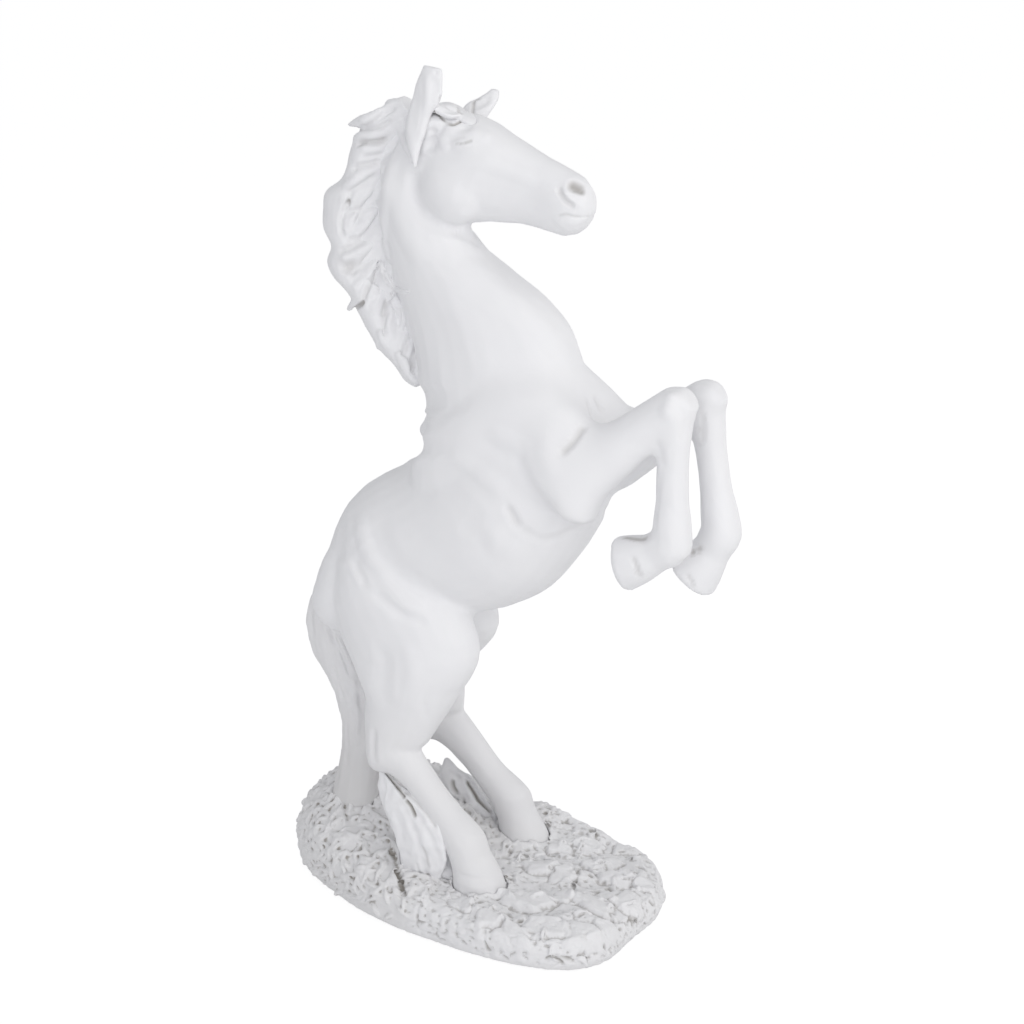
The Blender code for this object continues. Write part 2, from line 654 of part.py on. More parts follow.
def ground_shape(bm):
    around = 64
    shares = (0.12, 0.24, 0.36, 0.48, 0.60, 0.71, 0.81, 0.90, 0.97)
    underside = FELT_THICKNESS + GLUE_GAP
    loops = []
    for share in shares:
        loop = []
        for k in range(around):
            p = outline(2 * math.pi * k / around) * share
            loop.append(bm.verts.new((p.x, p.y, ground_height(p.x, p.y, 1 - share))))
        loops.append(loop)
    for share, level in ((1.0, 0.62), (1.0, 0.3), (0.985, 0.0)):
        loop = []
        for k in range(around):
            p = outline(2 * math.pi * k / around) * share
            rim = loops[len(shares) - 1][k].co.z - underside
            loop.append(bm.verts.new((p.x, p.y, underside + rim * level)))
        loops.append(loop)
    for inner, outer in zip(loops, loops[1:]):
        for k in range(around):
            n = (k + 1) % around
            bm.faces.new((inner[k], outer[k], outer[n], inner[n]))
    middle = bm.verts.new((0, 0, ground_height(0, 0, 1)))
    for k in range(around):
        bm.faces.new((middle, loops[0][k], loops[0][(k + 1) % around]))
    bm.faces.new(list(reversed(loops[-1])))


def felt_shape(bm):
    around = 64
    lower, upper = [], []
    for k in range(around):
        p = outline(2 * math.pi * k / around, FELT_MARGIN)
        lower.append(bm.verts.new((p.x, p.y, 0)))
        upper.append(bm.verts.new((p.x, p.y, FELT_THICKNESS)))
    bm.faces.new(list(reversed(lower)))
    bm.faces.new(upper)
    for k in range(around):
        n = (k + 1) % around
        bm.faces.new((lower[k], lower[n], upper[n], upper[k]))


def tube(bm, points, radius, segments=10):
    """A round bar of that radius through the points, with flat ends."""
    rings = []
    for number, point in enumerate(points):
        way = (points[min(number + 1, len(points) - 1)] - points[max(number - 1, 0)]).normalized()
        first = way.cross(Y_AXIS).normalized() * radius
        rings.append((point, first, way.cross(first).normalized() * radius, 0.0))
    loft(bm, rings, steps=1, segments=segments)


def wire_points(j):
    """The steel wire inside a hind leg, from the body down through the leg into the ground."""
    down = Vector((0, 0, -1))
    return [
        j["stifle"] + (j["hip"] - j["stifle"]) * 0.45,
        j["stifle"],
        (j["stifle"] + j["hock"]) / 2,
        j["hock"] + (j["stifle"] - j["hock"]) * 0.16,
        j["hock"] + (j["fetlock"] - j["hock"]) * 0.14,
        (j["hock"] + j["fetlock"]) / 2,
        j["fetlock"],
        j["hoof"],
        j["sole"],
        j["sole"] + down * WIRE_IN_GROUND,
    ]


def dowel_points(j):
    """The dowel across a foreleg's saw cut."""
    way = (j["knee"] - j["elbow"]).normalized()
    cut = j["elbow"] + way * FORE_CUT
    return [cut - way * DOWEL_DEPTH, cut + way * DOWEL_DEPTH]


def tail_pin_points(j):
    way = Vector((-0.62, 0, -0.78))
    middle = dock(j) + Vector((0.0025, 0, 0.0020))
    return [middle - way * DOWEL_DEPTH, middle + way * DOWEL_DEPTH]


def lengthened(points, more):
    """The same points with each end moved on by more, for the hole round a pin."""
    first = (points[0] - points[1]).normalized() * more
    last = (points[-1] - points[-2]).normalized() * more
    return [points[0] + first] + points[1:-1] + [points[-1] + last]


def prism(name, corners, near, far):
    """A saw block with that outline in the XZ plane, from Y near to Y far."""
    bm = bmesh.new()
    low = [bm.verts.new((p.x, near, p.z)) for p in corners]
    high = [bm.verts.new((p.x, far, p.z)) for p in corners]
    bm.faces.new(low)
    bm.faces.new(list(reversed(high)))
    for k in range(len(corners)):
        n = (k + 1) % len(corners)
        bm.faces.new((low[n], low[k], high[k], high[n]))
    return helper(name, bm)


def fore_saw(j, grow=0.0):
    """Outline of what is sawn off as a foreleg: past the cut across the arm, and past a cut straight
    down in front of the belly for the foot that is folded back."""
    way = (j["knee"] - j["elbow"]).normalized()
    across = Y_AXIS.cross(way).normalized()
    cut = j["elbow"] + way * (FORE_CUT - grow)
    top = cut - across * (FORE_SAW_ABOVE + grow)
    turn = cut + across * FORE_SAW_BELOW
    turn.x -= grow
    return [top, turn, turn + Vector((0, 0, -CUTTER)), turn + Vector((CUTTER, 0, -CUTTER)),
            top + way * CUTTER]


def hind_saw(j, grow=0.0):
    """Outline of what is sawn off as a hind leg: all below a level cut through the gaskin."""
    way = (j["hock"] - j["stifle"]).normalized()
    cut = j["hock"] - way * HIND_CUT + Vector((0, 0, grow))
    down = Vector((0, 0, -CUTTER))
    front, back = cut + Vector((CUTTER / 2, 0, 0)), cut - Vector((CUTTER / 2, 0, 0))
    return [front, back, back + down, front + down]


def helper(name, bm):
    obj = mesh_object(name, bm)
    obj.hide_render = True
    obj.display_type = "WIRE"
    return obj


def boolean(obj, other, operation="DIFFERENCE", folds_touch=False):
    """Cut obj with the other. folds_touch says that the other's grown folds may run into each other."""
    cut = obj.modifiers.new(other.name, "BOOLEAN")
    cut.object = other
    cut.operation = operation
    cut.solver = "EXACT"
    cut.use_self = folds_touch


def shape_object(name, shape, *values, mat=None, **more):
    bm = bmesh.new()
    shape(bm, *values, **more)
    return mesh_object(name, bm, mat) if mat else helper(name, bm)


def copy_of(obj, name, mat):
    made = bpy.data.objects.new(name, obj.data.copy())
    bpy.context.scene.collection.objects.link(made)
    made.data.materials.clear()
    made.data.materials.append(mat)
    return made


def build_body(white, steel):
    """The body casting with the pieces that are let into it: mane, forelock, tail and ears."""
    j = skeleton(1)
    body = sculpt()
    body.name = "body"
    figure = copy_of(body, "figure", white)
    figure.hide_render = True
    body.data.materials.append(white)

    for name, shape, triangles in (("mane", mane_shape, MANE_TRIANGLES),
                                   ("tail", tail_shape, TAIL_TRIANGLES)):
        piece = shape_object(name, shape, j, mat=white)
        fuse(piece, HAIR_VOXEL, HAIR_SMOOTHING, triangles)
        boolean(body, seat_of(piece), folds_touch=name == "mane")
    boolean(body, seat_of(shape_object("forelock", forelock_shape, j, mat=white)))
    for name, side in SIDES.items():
        boolean(body, seat_of(shape_object(name + "_ear", ear_shape, j, side, mat=white)))
    pin_holes("tail_pin", tail_pin_points(j), DOWEL_RADIUS, steel, body, bpy.data.objects["tail"])
    return body, figure


def seat_of(piece):
    """The piece grown all round by the glue gap, to cut the seat that it is glued into."""
    seat = bpy.data.objects.new(piece.name + "_seat", piece.data)
    bpy.context.scene.collection.objects.link(seat)
    seat.hide_render = True
    seat.display_type = "WIRE"
    push = seat.modifiers.new("glue gap", "DISPLACE")
    push.strength = SEAT_GROWTH
    push.mid_level = 0.0
    return seat


def pin_holes(name, points, radius, steel, *castings):
    """A steel pin, and its hole in each casting that it passes through."""
    shape_object(name, tube, points, radius, mat=steel)
    hole = shape_object(name + "_hole", tube, lengthened(points, GLUE_GAP), radius + GLUE_GAP)
    for casting in castings:
        boolean(casting, hole)


def build_legs(body, figure, ground, white, steel):
    """The legs sawn off the figure, their pins, and the grass tufts that stand behind the hind ones."""
    figure_room = seat_of(figure)
    boolean(ground, figure_room)
    for name, side in SIDES.items():
        j = skeleton(side)
        edges = sorted((side * SAW_FROM_MIDDLE, side * CUTTER / 2))
        kerf = sorted((side * (SAW_FROM_MIDDLE - GLUE_GAP), side * CUTTER / 2))
        legs = {}
        for limb, outline_of in (("foreleg", fore_saw), ("hind_leg", hind_saw)):
            leg = copy_of(figure, f"{name}_{limb}", white)
            boolean(leg, prism(leg.name + "_saw", outline_of(j), *edges), "INTERSECT")
            boolean(body, prism(leg.name + "_kerf", outline_of(j, GLUE_GAP), *kerf))
            legs[limb] = leg
        boolean(legs["hind_leg"], bpy.data.objects["tail_seat"])
        pin_holes(name + "_foreleg_dowel", dowel_points(j), DOWEL_RADIUS, steel, body, legs["foreleg"])
        pin_holes(name + "_leg_wire", wire_points(j), WIRE_RADIUS, steel, body, legs["hind_leg"], ground)

        tuft = shape_object(name + "_grass_tuft", tuft_shape, j, side, mat=white)
        fuse(tuft, HAIR_VOXEL, HAIR_SMOOTHING, TUFT_TRIANGLES)
        boolean(ground, seat_of(tuft))
        boolean(tuft, figure_room)


def build_castings(white, steel, felt):
    body, figure = build_body(white, steel)
    ground = shape_object("ground_base", ground_shape, mat=white)
    boolean(ground, bpy.data.objects["tail_seat"])
    build_legs(body, figure, ground, white, steel)
    shape_object("base_felt", felt_shape, mat=felt)


def main():
    clear_scene()
    white = material("cast resin", RESIN_WHITE, 0.55)
    steel = material("steel wire", STEEL_GREY, 0.35, 1.0)
    felt = material("felt", FELT_GREY, 0.95)
    build_castings(white, steel, felt)
    for obj in bpy.data.objects:
        if not obj.hide_render:
            obj.data.shade_smooth()


main()
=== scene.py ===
"""The rearing horse ornament dressed for the render: polyester resin cast from one sculpt, sprayed
matt white, on a ground of curled grass and flat stones.

Body, legs, tail, tufts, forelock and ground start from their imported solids, and mane and ears from
rows laid in the place of theirs. Each is made one fine skin and is then worked as wax is: strokes
raise or cut the skin along lines. Lines on the side that the photograph shows are given in its
pixels, of 1024 by 1024, and are laid on the skin where the camera sees them. The horse's other side
takes the same lines mirrored. Everything else is in metres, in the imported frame.
"""

import json
import math
import random

import bmesh
import bpy
import numpy as np
from mathutils import Matrix, Vector, noise
from mathutils.bvhtree import BVHTree
from mathutils.kdtree import KDTree

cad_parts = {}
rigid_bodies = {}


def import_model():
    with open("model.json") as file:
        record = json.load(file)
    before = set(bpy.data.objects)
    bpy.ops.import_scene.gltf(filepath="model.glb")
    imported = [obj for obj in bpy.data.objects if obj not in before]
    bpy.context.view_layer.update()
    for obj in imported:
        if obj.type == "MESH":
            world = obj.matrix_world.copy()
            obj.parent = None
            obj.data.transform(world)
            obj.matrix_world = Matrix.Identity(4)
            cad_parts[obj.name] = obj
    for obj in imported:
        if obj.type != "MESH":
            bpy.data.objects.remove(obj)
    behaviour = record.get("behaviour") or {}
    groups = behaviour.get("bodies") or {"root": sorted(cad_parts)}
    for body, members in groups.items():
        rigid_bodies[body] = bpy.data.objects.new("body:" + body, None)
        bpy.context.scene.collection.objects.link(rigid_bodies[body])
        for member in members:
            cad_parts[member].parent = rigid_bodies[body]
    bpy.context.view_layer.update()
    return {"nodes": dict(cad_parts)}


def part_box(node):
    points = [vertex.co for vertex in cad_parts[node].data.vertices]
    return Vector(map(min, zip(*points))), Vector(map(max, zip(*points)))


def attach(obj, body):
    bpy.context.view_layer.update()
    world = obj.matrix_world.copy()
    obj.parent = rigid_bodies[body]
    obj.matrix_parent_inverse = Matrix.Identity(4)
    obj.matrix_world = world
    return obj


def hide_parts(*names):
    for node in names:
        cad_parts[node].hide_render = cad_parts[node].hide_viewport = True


MM = 0.001
UP = Vector((0, 0, 1))
ACROSS = Vector((0, 1, 0))

# The photograph: where the camera stands, what it looks at, and how large it shows the horse.
PHOTO = 1024
CAMERA_TURN = 28.0
CAMERA_AWAY = 607 * MM
CAMERA_RISE = 180 * MM
LOOKED_AT = Vector((25.5, -11.5, 150.0)) * MM
PIXEL = 0.333 * MM
SENSOR = 36.0

# How fine each casting's skin is, how far it covers its neighbour's edge, and how deep the pieces
# glued to the body reach into it, before they are joined with it into one skin.
FIGURE_GRAIN = 0.75 * MM
HAIR_GRAIN = 0.48 * MM
EAR_GRAIN = 0.40 * MM
GROUND_GRAIN = 0.42 * MM
SEAM_OVERLAP = 0.5 * MM
GLUE_REACH = 0.3 * MM

# How thick a lock of the mane is for its width, and how deep the rim of a parted casting turns in.
LOCK_FLATNESS = 0.7
RIM_DEPTH = 0.9 * MM

# The saw cut through both forearms, as a point on it and the way down the arm, and how far forward
# the hind legs and the trunk reach.
ARM_CUT = Vector((50.0, 0, 166.5)) * MM
DOWN_ARM = Vector((0.81, 0, 0.587))
HIND_LEGS_END = 35 * MM
TRUNK_END = 60 * MM

# Strands round the tail, blades of grass on the ground, and the share of the blades falling between
# the stones that stay there.
TAIL_STRANDS = 16
GRASS_BLADES = 860
BLADES_AMONG_STONES = 0.10

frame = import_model()
nodes = frame["nodes"]


def linear(code):
    """An sRGB colour such as "EDEDEC" as the linear colour that a shader takes."""
    parts = [int(code[at:at + 2], 16) / 255 for at in (0, 2, 4)]
    return [c / 12.92 if c <= 0.04045 else ((c + 0.055) / 1.055) ** 2.4 for c in parts] + [1.0]


def node(tree, kind, settings=None, **links):
    """Adds a node of that kind. settings are its own properties, and each link names an input socket
    (spaces as _) with a value, or with the output socket of another node."""
    made = tree.nodes.new("ShaderNode" + kind)
    for name, value in (settings or {}).items():
        setattr(made, name, value)
    for name, value in links.items():
        plain = name.replace("_", " ")
        socket = made.inputs[int(name[1:])] if name[1:].isdigit() else made.inputs[plain]
        if isinstance(value, bpy.types.NodeSocket):
            tree.links.new(value, socket)
        else:
            socket.default_value = value
    return made


def empty_material(name):
    material = bpy.data.materials.new(name)
    material.use_nodes = True
    material.node_tree.nodes.clear()
    return material, material.node_tree


def camera_at_photo():
    """The camera at the photograph's place, and its focal length in the photograph's pixels."""
    turn = math.radians(CAMERA_TURN)
    data = bpy.data.cameras.new("photo_camera")
    camera = bpy.data.objects.new("photo_camera", data)
    bpy.context.scene.collection.objects.link(camera)
    away = Vector((math.sin(turn) * CAMERA_AWAY, -math.cos(turn) * CAMERA_AWAY, CAMERA_RISE))
    camera.location = LOOKED_AT + away
    camera.rotation_mode = "QUATERNION"
    camera.rotation_quaternion = (-away).to_track_quat("-Z", "Y")
    focal = away.length / PIXEL
    data.sensor_width = SENSOR
    data.lens = focal / PHOTO * SENSOR
    data.clip_end = 20.0
    bpy.context.scene.camera = camera
    return camera, focal


camera, FOCAL = camera_at_photo()
EYE = camera.location.copy()
CAMERA_AXES = camera.rotation_quaternion.to_matrix()


def sight(px, py):
    """The direction in which the photograph's pixel lies from the camera."""
    flat = Vector(((px - PHOTO / 2) / FOCAL, -(py - PHOTO / 2) / FOCAL, -1))
    return (CAMERA_AXES @ flat).normalized()


def beside(px, py, y_mm):
    """The point that the pixel shows, that many millimetres to the horse's left of its middle."""
    way = sight(px, py)
    return EYE + way * ((y_mm * MM - EYE.y) / way.y)


def curve_through(rows, steps=6):
    """A smooth line through the rows of numbers, passing through each of them."""
    rows = [np.array(row, float) for row in rows]
    rows = [rows[0]] + rows + [rows[-1]]
    made = []
    for a, b, c, d in zip(rows, rows[1:], rows[2:], rows[3:]):
        for step in range(steps):
            t = step / steps
            made.append(0.5 * (2 * b + (c - a) * t + (2 * a - 5 * b + 4 * c - d) * t * t
                               + (3 * b - a - 3 * c + d) * t ** 3))
    made.append(rows[-1])
    return made


def mirrored(point):
    """The same point on the horse's other side."""
    return Vector((point.x, -point.y, point.z))


def smooth_step(values, low, high):
    """0 below low and 1 above high, with an even rise between them."""
    t = np.clip((values - low) / (high - low), 0, 1)
    return t * t * (3 - 2 * t)


def fade_out(values, whole, gone):
    """1 below whole and 0 above gone, with an even fall between them."""
    return smooth_step(-values, -gone, -whole)


def object_of(name, bm):
    mesh = bpy.data.meshes.new(name)
    bm.to_mesh(mesh)
    bm.free()
    made = bpy.data.objects.new(name, mesh)
    bpy.context.scene.collection.objects.link(made)
    return made


def settle(obj):
    """Replaces the object's mesh by what its modifiers make of it."""
    graph = bpy.context.evaluated_depsgraph_get()
    made = bpy.data.meshes.new_from_object(obj.evaluated_get(graph))
    obj.modifiers.clear()
    old = obj.data
    obj.data = made
    bpy.data.meshes.remove(old)
    return obj


def melt(obj, grain):
    """Melts all that the object's mesh holds into one even skin of that grain."""
    remesh = obj.modifiers.new("melt", "REMESH")
    remesh.mode = "VOXEL"
    remesh.voxel_size = grain
    return settle(obj)


def copied_solids(names, grow=0.0):
    """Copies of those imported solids, each grown all round by grow."""
    bm = bmesh.new()
    for name in names:
        start = len(bm.verts)
        bm.from_mesh(nodes[name].data)
        bm.verts.ensure_lookup_table()
        bmesh.ops.remove_doubles(bm, verts=bm.verts[start:], dist=0.01 * MM)
        bm.normal_update()
        bm.verts.ensure_lookup_table()
        for vert in bm.verts[start:]:
            vert.co += vert.normal * grow
    return bm


def tree_of(names):
    """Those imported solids, to measure distances from."""
    bm = copied_solids(names)
    tree = BVHTree.FromBMesh(bm)
    bm.free()
    return tree


def open_rims(bm):
    return [edge for edge in bm.edges if edge.is_boundary]


def split_large_faces(bm):
    bmesh.ops.triangulate(bm, faces=[face for face in bm.faces if len(face.verts) > 4])


class Wax:
    """A skin that strokes raise or cut. For each vertex it keeps how much shade is painted on it, 0 to 1, in
    crevices, hollows and lower parts.
    """

    def __init__(self, obj):
        self.obj = obj
        self.load()

    def load(self):
        mesh = self.obj.data
        count = len(mesh.vertices)
        flat = np.empty(count * 3)
        mesh.vertices.foreach_get("co", flat)
        self.co = flat.reshape(-1, 3)
        pairs = np.empty(len(mesh.edges) * 2, np.int64)
        mesh.edges.foreach_get("vertices", pairs)
        self.pairs = pairs.reshape(-1, 2)
        self.links = np.bincount(self.pairs.ravel(), minlength=count)
        self.painted_shade = np.zeros(count)
        self.store()

    def store(self):
        """Puts the worked vertices back into the mesh and reads its normals again."""
        mesh = self.obj.data
        mesh.vertices.foreach_set("co", self.co.ravel())
        mesh.update()
        flat = np.empty(len(mesh.vertices) * 3)
        mesh.vertices.foreach_get("normal", flat)
        self.normal = flat.reshape(-1, 3)
        bm = bmesh.new()
        bm.from_mesh(mesh)
        self.tree = BVHTree.FromBMesh(bm)
        bm.free()

    def neighbours_middle(self, co):
        """For each vertex, the middle of those that it is joined to."""
        first, second = self.pairs[:, 0], self.pairs[:, 1]
        return np.stack([
            np.bincount(first, co[second, axis], len(co))
            + np.bincount(second, co[first, axis], len(co)) for axis in range(3)
        ], 1) / self.links[:, None]

    def relax(self, passes, where=None, keep_size=True):
        """Evens the skin out. keep_size swells it back after each pass, so that thin legs stay thick."""
        weight = 1.0 if where is None else where[:, None]
        for _ in range(passes):
            for share in ((0.5, -0.52) if keep_size else (0.5,)):
                self.co += (self.neighbours_middle(self.co) - self.co) * share * weight
        self.store()

    def even_out_round(self, middle, whole, gone, passes, keep_size=True):
        """Evens the skin out round a point: wholly within whole of it in the side view, and not at all
        beyond gone."""
        away = self.co - np.array(middle)
        gap = np.hypot(away[:, 0], away[:, 2])
        self.relax(passes, where=fade_out(gap, whole, gone), keep_size=keep_size)

    def under(self, px, py):
        """The point of the skin that the photograph's pixel shows."""
        way = sight(px, py)
        hit = self.tree.ray_cast(EYE, way)[0]
        return hit if hit is not None else self.nearest(beside(px, py, -3))

    def nearest(self, point):
        return self.tree.find_nearest(point)[0]

    def seen_line(self, pixels):
        """The line on the skin that the pixels show, and its mirror on the horse's left side."""
        line = [self.under(px, py) for px, py in pixels]
        return line, [self.nearest(mirrored(point)) for point in line]

    def stroke(self, line, width, height, painted_shade=0.0):
        """Raises the skin along the line by height, or cuts it where height is below zero. Where a share is
        given, shade is painted along the line as well. The effect fades to nothing at width from the line,
        and towards the ends of a line that is long enough."""
        points = np.array([list(p) for p in line], float)
        if len(points) > 1:
            length = np.linalg.norm(np.diff(points, axis=0), axis=1).sum()
            legs = len(points) - 1
            steps = max(int(length / legs / (width * 0.35)) + 1, 30 // legs + 1)
            points = np.array(curve_through(points, min(steps, 32)))
        low, high = points.min(0) - width, points.max(0) + width
        near = np.nonzero(np.all((self.co > low) & (self.co < high), axis=1))[0]
        if not len(near):
            return
        gaps = np.linalg.norm(self.co[near][:, None, :] - points[None, :, :], axis=2)
        closest = gaps.argmin(1)
        gap = gaps[np.arange(len(near)), closest]
        facing = []
        for point in points:
            found = self.tree.find_nearest(Vector(point))
            facing.append(list(found[1]) if found[1] else [0, 0, 1])
        same_side = np.einsum("ij,ij->i", self.normal[near], np.array(facing)[closest])
        share = np.clip(1 - (gap / width) ** 2, 0, 1) ** 2
        share *= np.clip(same_side * 2.5 + 0.4, 0, 1)
        arc = np.concatenate([[0], np.cumsum(np.linalg.norm(np.diff(points, axis=0), axis=1))])
        if arc[-1] > 2.5 * width:
            fade = min(1.2 * width, arc[-1] / 2)
            share *= smooth_step(np.minimum(arc, arc[-1] - arc) / fade, -0.3, 1.0)[closest]
        self.co[near] += self.normal[near] * (height * share)[:, None]
        # Painted shade along the stroke, as strong as the stroke is there.
        self.painted_shade[near] = np.maximum(self.painted_shade[near], share * painted_shade)

    def seen_strokes(self, table, both=True):
        """Strokes along pixels of the photograph, each given as its line, width and height in millimetres
        and, where there is any, the share of shade painted into it. both lays their mirrors on the horse's
        left side."""
        for pixels, width, height, *painted_shade in table:
            line, other = self.seen_line(pixels)
            for way in ((line, other) if both else (line,)):
                self.stroke(way, width * MM, height * MM, *painted_shade)

    def texture(self, size, height, seed):
        """Slow unevenness all over, as a hand-worked sculpt has."""
        shift = Vector((seed, seed * 0.7, -seed))
        lumps = np.array([noise.noise(Vector(p) / size + shift) for p in self.co])
        self.co += self.normal * (lumps * height)[:, None]

    def finish(self):
        self.store()
        mesh = self.obj.data
        # The painted shade goes to the material as an attribute of the points.
        painted_shade = mesh.attributes.new("painted_shade", "FLOAT", "POINT")
        painted_shade.data.foreach_set("value", self.painted_shade.astype(np.float32))
        mesh.shade_smooth()
        return self.obj


def lock_of_hair(bm, line, half_width, half_thick, face, ridges=3, ridge=0.10, segments=18):
    """A tapered lock along the line of points. face is the way its flat side looks, and ridges run
    along it as combed strands do."""
    rows = curve_through([list(p) for p in line])
    count = len(rows)
    rings = []
    for number, row in enumerate(rows):
        t = number / (count - 1)
        centre = Vector(row)
        way = Vector(rows[min(number + 1, count - 1)]) - Vector(rows[max(number - 1, 0)])
        way.normalize()
        across = way.cross(face).normalized()
        out = across.cross(way).normalized()
        size = max(min(0.72 + 1.1 * t, 1.0) * (1 - t ** 3.2), 0.0) + 0.05
        ring = []
        for k in range(segments):
            a = 2 * math.pi * k / segments
            bump = 1 + ridge * math.cos(ridges * 2 * a + 0.6)
            ring.append(bm.verts.new(centre + across * math.cos(a) * half_width * size * bump
                                     + out * math.sin(a) * half_thick * size * bump))
        rings.append(ring)
    close_rings(bm, rings)


def close_rings(bm, rings):
    count = len(rings[0])
    for lower, upper in zip(rings, rings[1:]):
        for k in range(count):
            n = (k + 1) % count
            bm.faces.new((lower[k], lower[n], upper[n], upper[k]))
    bm.faces.new(list(reversed(rings[0])))
    bm.faces.new(rings[-1])


def paddle(bm, rows, segments=16, lean=0.0):
    """A closed skin through rows, each given by the two pixels of its edges, how far to the side it
    stands in millimetres, and half its thickness in millimetres. lean thins it towards the second
    edge by that share."""
    rings = []
    for (left, right, side, thick) in curve_rows(rows):
        a, b = beside(left[0], left[1], side), beside(right[0], right[1], side)
        centre, reach = (a + b) / 2, (b - a) / 2
        ring = []
        for k in range(segments):
            angle = 2 * math.pi * k / segments
            thinned = thick * (1 - lean * max(math.cos(angle), 0.0))
            ring.append(bm.verts.new(centre + reach * math.cos(angle)
                                     + ACROSS * thinned * MM * math.sin(angle)))
        rings.append(ring)
    close_rings(bm, rings)


def curve_rows(rows):
    flat = [[*left, *right, side, thick] for left, right, side, thick in rows]
    return [((r[0], r[1]), (r[2], r[3]), r[4], r[5]) for r in curve_through(flat, 4)]


# Masses of the head, in pixels: line, width and height in millimetres. Below zero is a hollow.
FACE_MASSES = [
    ([(461, 139), (467, 138)], 5.0, 0.75),
    ([(449, 131), (455, 125.5)], 3.4, 0.7),
    ([(477, 132), (483, 136)], 3.4, 0.55),
    ([(466, 129)], 2.6, -0.45),
    ([(436, 183), (446, 196)], 12.0, 1.1),
    ([(474, 158), (505, 168), (540, 182)], 4.0, 0.4),
    ([(443, 139), (445, 146)], 2.8, 0.5),
    ([(430, 122), (441, 125), (451, 130)], 4.5, 0.8),
    ([(577, 188)], 6.5, 0.4),
    ([(566, 228)], 5.0, 0.4),
    ([(584, 205), (588, 211)], 4.0, 0.25),
    ([(492, 186), (512, 192), (532, 198)], 8.0, -0.5),
    ([(413, 166), (414, 190), (421, 212), (440, 227), (466, 232)], 3.8, -1.15),
    ([(433, 123), (433.5, 135), (433, 148)], 2.6, -0.9),
]
# Lines cut into the finer skin of the face, with how much shade is painted into each.
FACE_LINES = [
    ([(455.5, 143.8), (458.5, 143.0)], 0.8, -0.25, 0.20),
    ([(459.5, 143.8), (464.0, 143.0)], 0.8, -0.28, 0.28),
    ([(464.8, 142.8), (470.5, 140.8)], 0.9, -0.30, 0.34),
    ([(452, 140), (459, 137.5), (466, 136.5)], 1.2, -0.22, 0.05),
    ([(434, 112), (442, 118), (452, 124.5), (459, 122), (465, 118.5)], 0.9, -0.5, 0.75),
    ([(456, 148), (464, 147.5), (473, 144)], 1.4, -0.18, 0.0),
    ([(434, 127), (434, 136), (433.5, 146)], 1.6, -0.40, 0.08),
    ([(559, 185.5), (560, 193), (565.5, 201), (575.5, 207)], 1.6, -0.65, 0.18),
    ([(564, 188), (568, 197), (575, 203)], 1.6, 0.30, 0.0),
    ([(573.5, 185.5), (580, 188)], 2.9, -1.25, 0.70),
    ([(575.5, 188), (581.5, 190)], 2.2, -0.7, 0.95),
    ([(557, 216.5), (566, 215), (575, 217), (589, 216)], 0.9, -0.35, 0.15),
    ([(563, 222), (576, 223), (588, 217)], 2.0, 0.2, 0.0),
    ([(548, 220), (556, 226), (563, 232)], 1.8, -0.2, 0.0),
    ([(449, 229), (462, 236), (482, 246)], 2.6, -0.4, 0.05),
]
# The outlines of withers, croup and tail, from above down, in pixels.
WITHERS_EDGE = [
    (416, 374), (419, 384), (424, 390), (426.5, 398), (427, 406), (424.5, 417), (419.5, 429), (421, 436),
    (423.5, 444), (421.5, 452), (416, 459),
]
CROUP_EDGE = [
    (370, 482), (354, 495), (345, 507), (333, 535.5), (327, 550), (321, 564), (316.5, 580), (313, 592),
    (309.5, 606),
]
TAIL_EDGE = [
    (312, 596), (310, 603), (308.5, 612), (308, 624), (309.5, 638), (314.8, 652), (327.4, 674),
    (335.4, 692.6), (340, 714), (342, 735),
]
NECK_LINES = [
    ([(398, 150), (389, 175), (385, 205), (384, 240), (389, 270), (397, 300), (411, 330)], 4.0, 0.9),
    ([(388, 172), (394, 205), (407, 238), (426, 266)], 5.5, 0.8),
    ([(376, 200), (380, 232), (392, 256)], 3.5, -0.55),
    ([(408, 182), (414, 210), (432, 234)], 3.4, -0.45),
    ([(470, 255), (505, 290), (545, 330), (575, 372)], 6.0, 0.5),
    ([(430, 300), (445, 350), (470, 400)], 9.0, -0.5),
    ([(455, 280), (500, 340), (540, 400)], 8.0, -0.45),
]
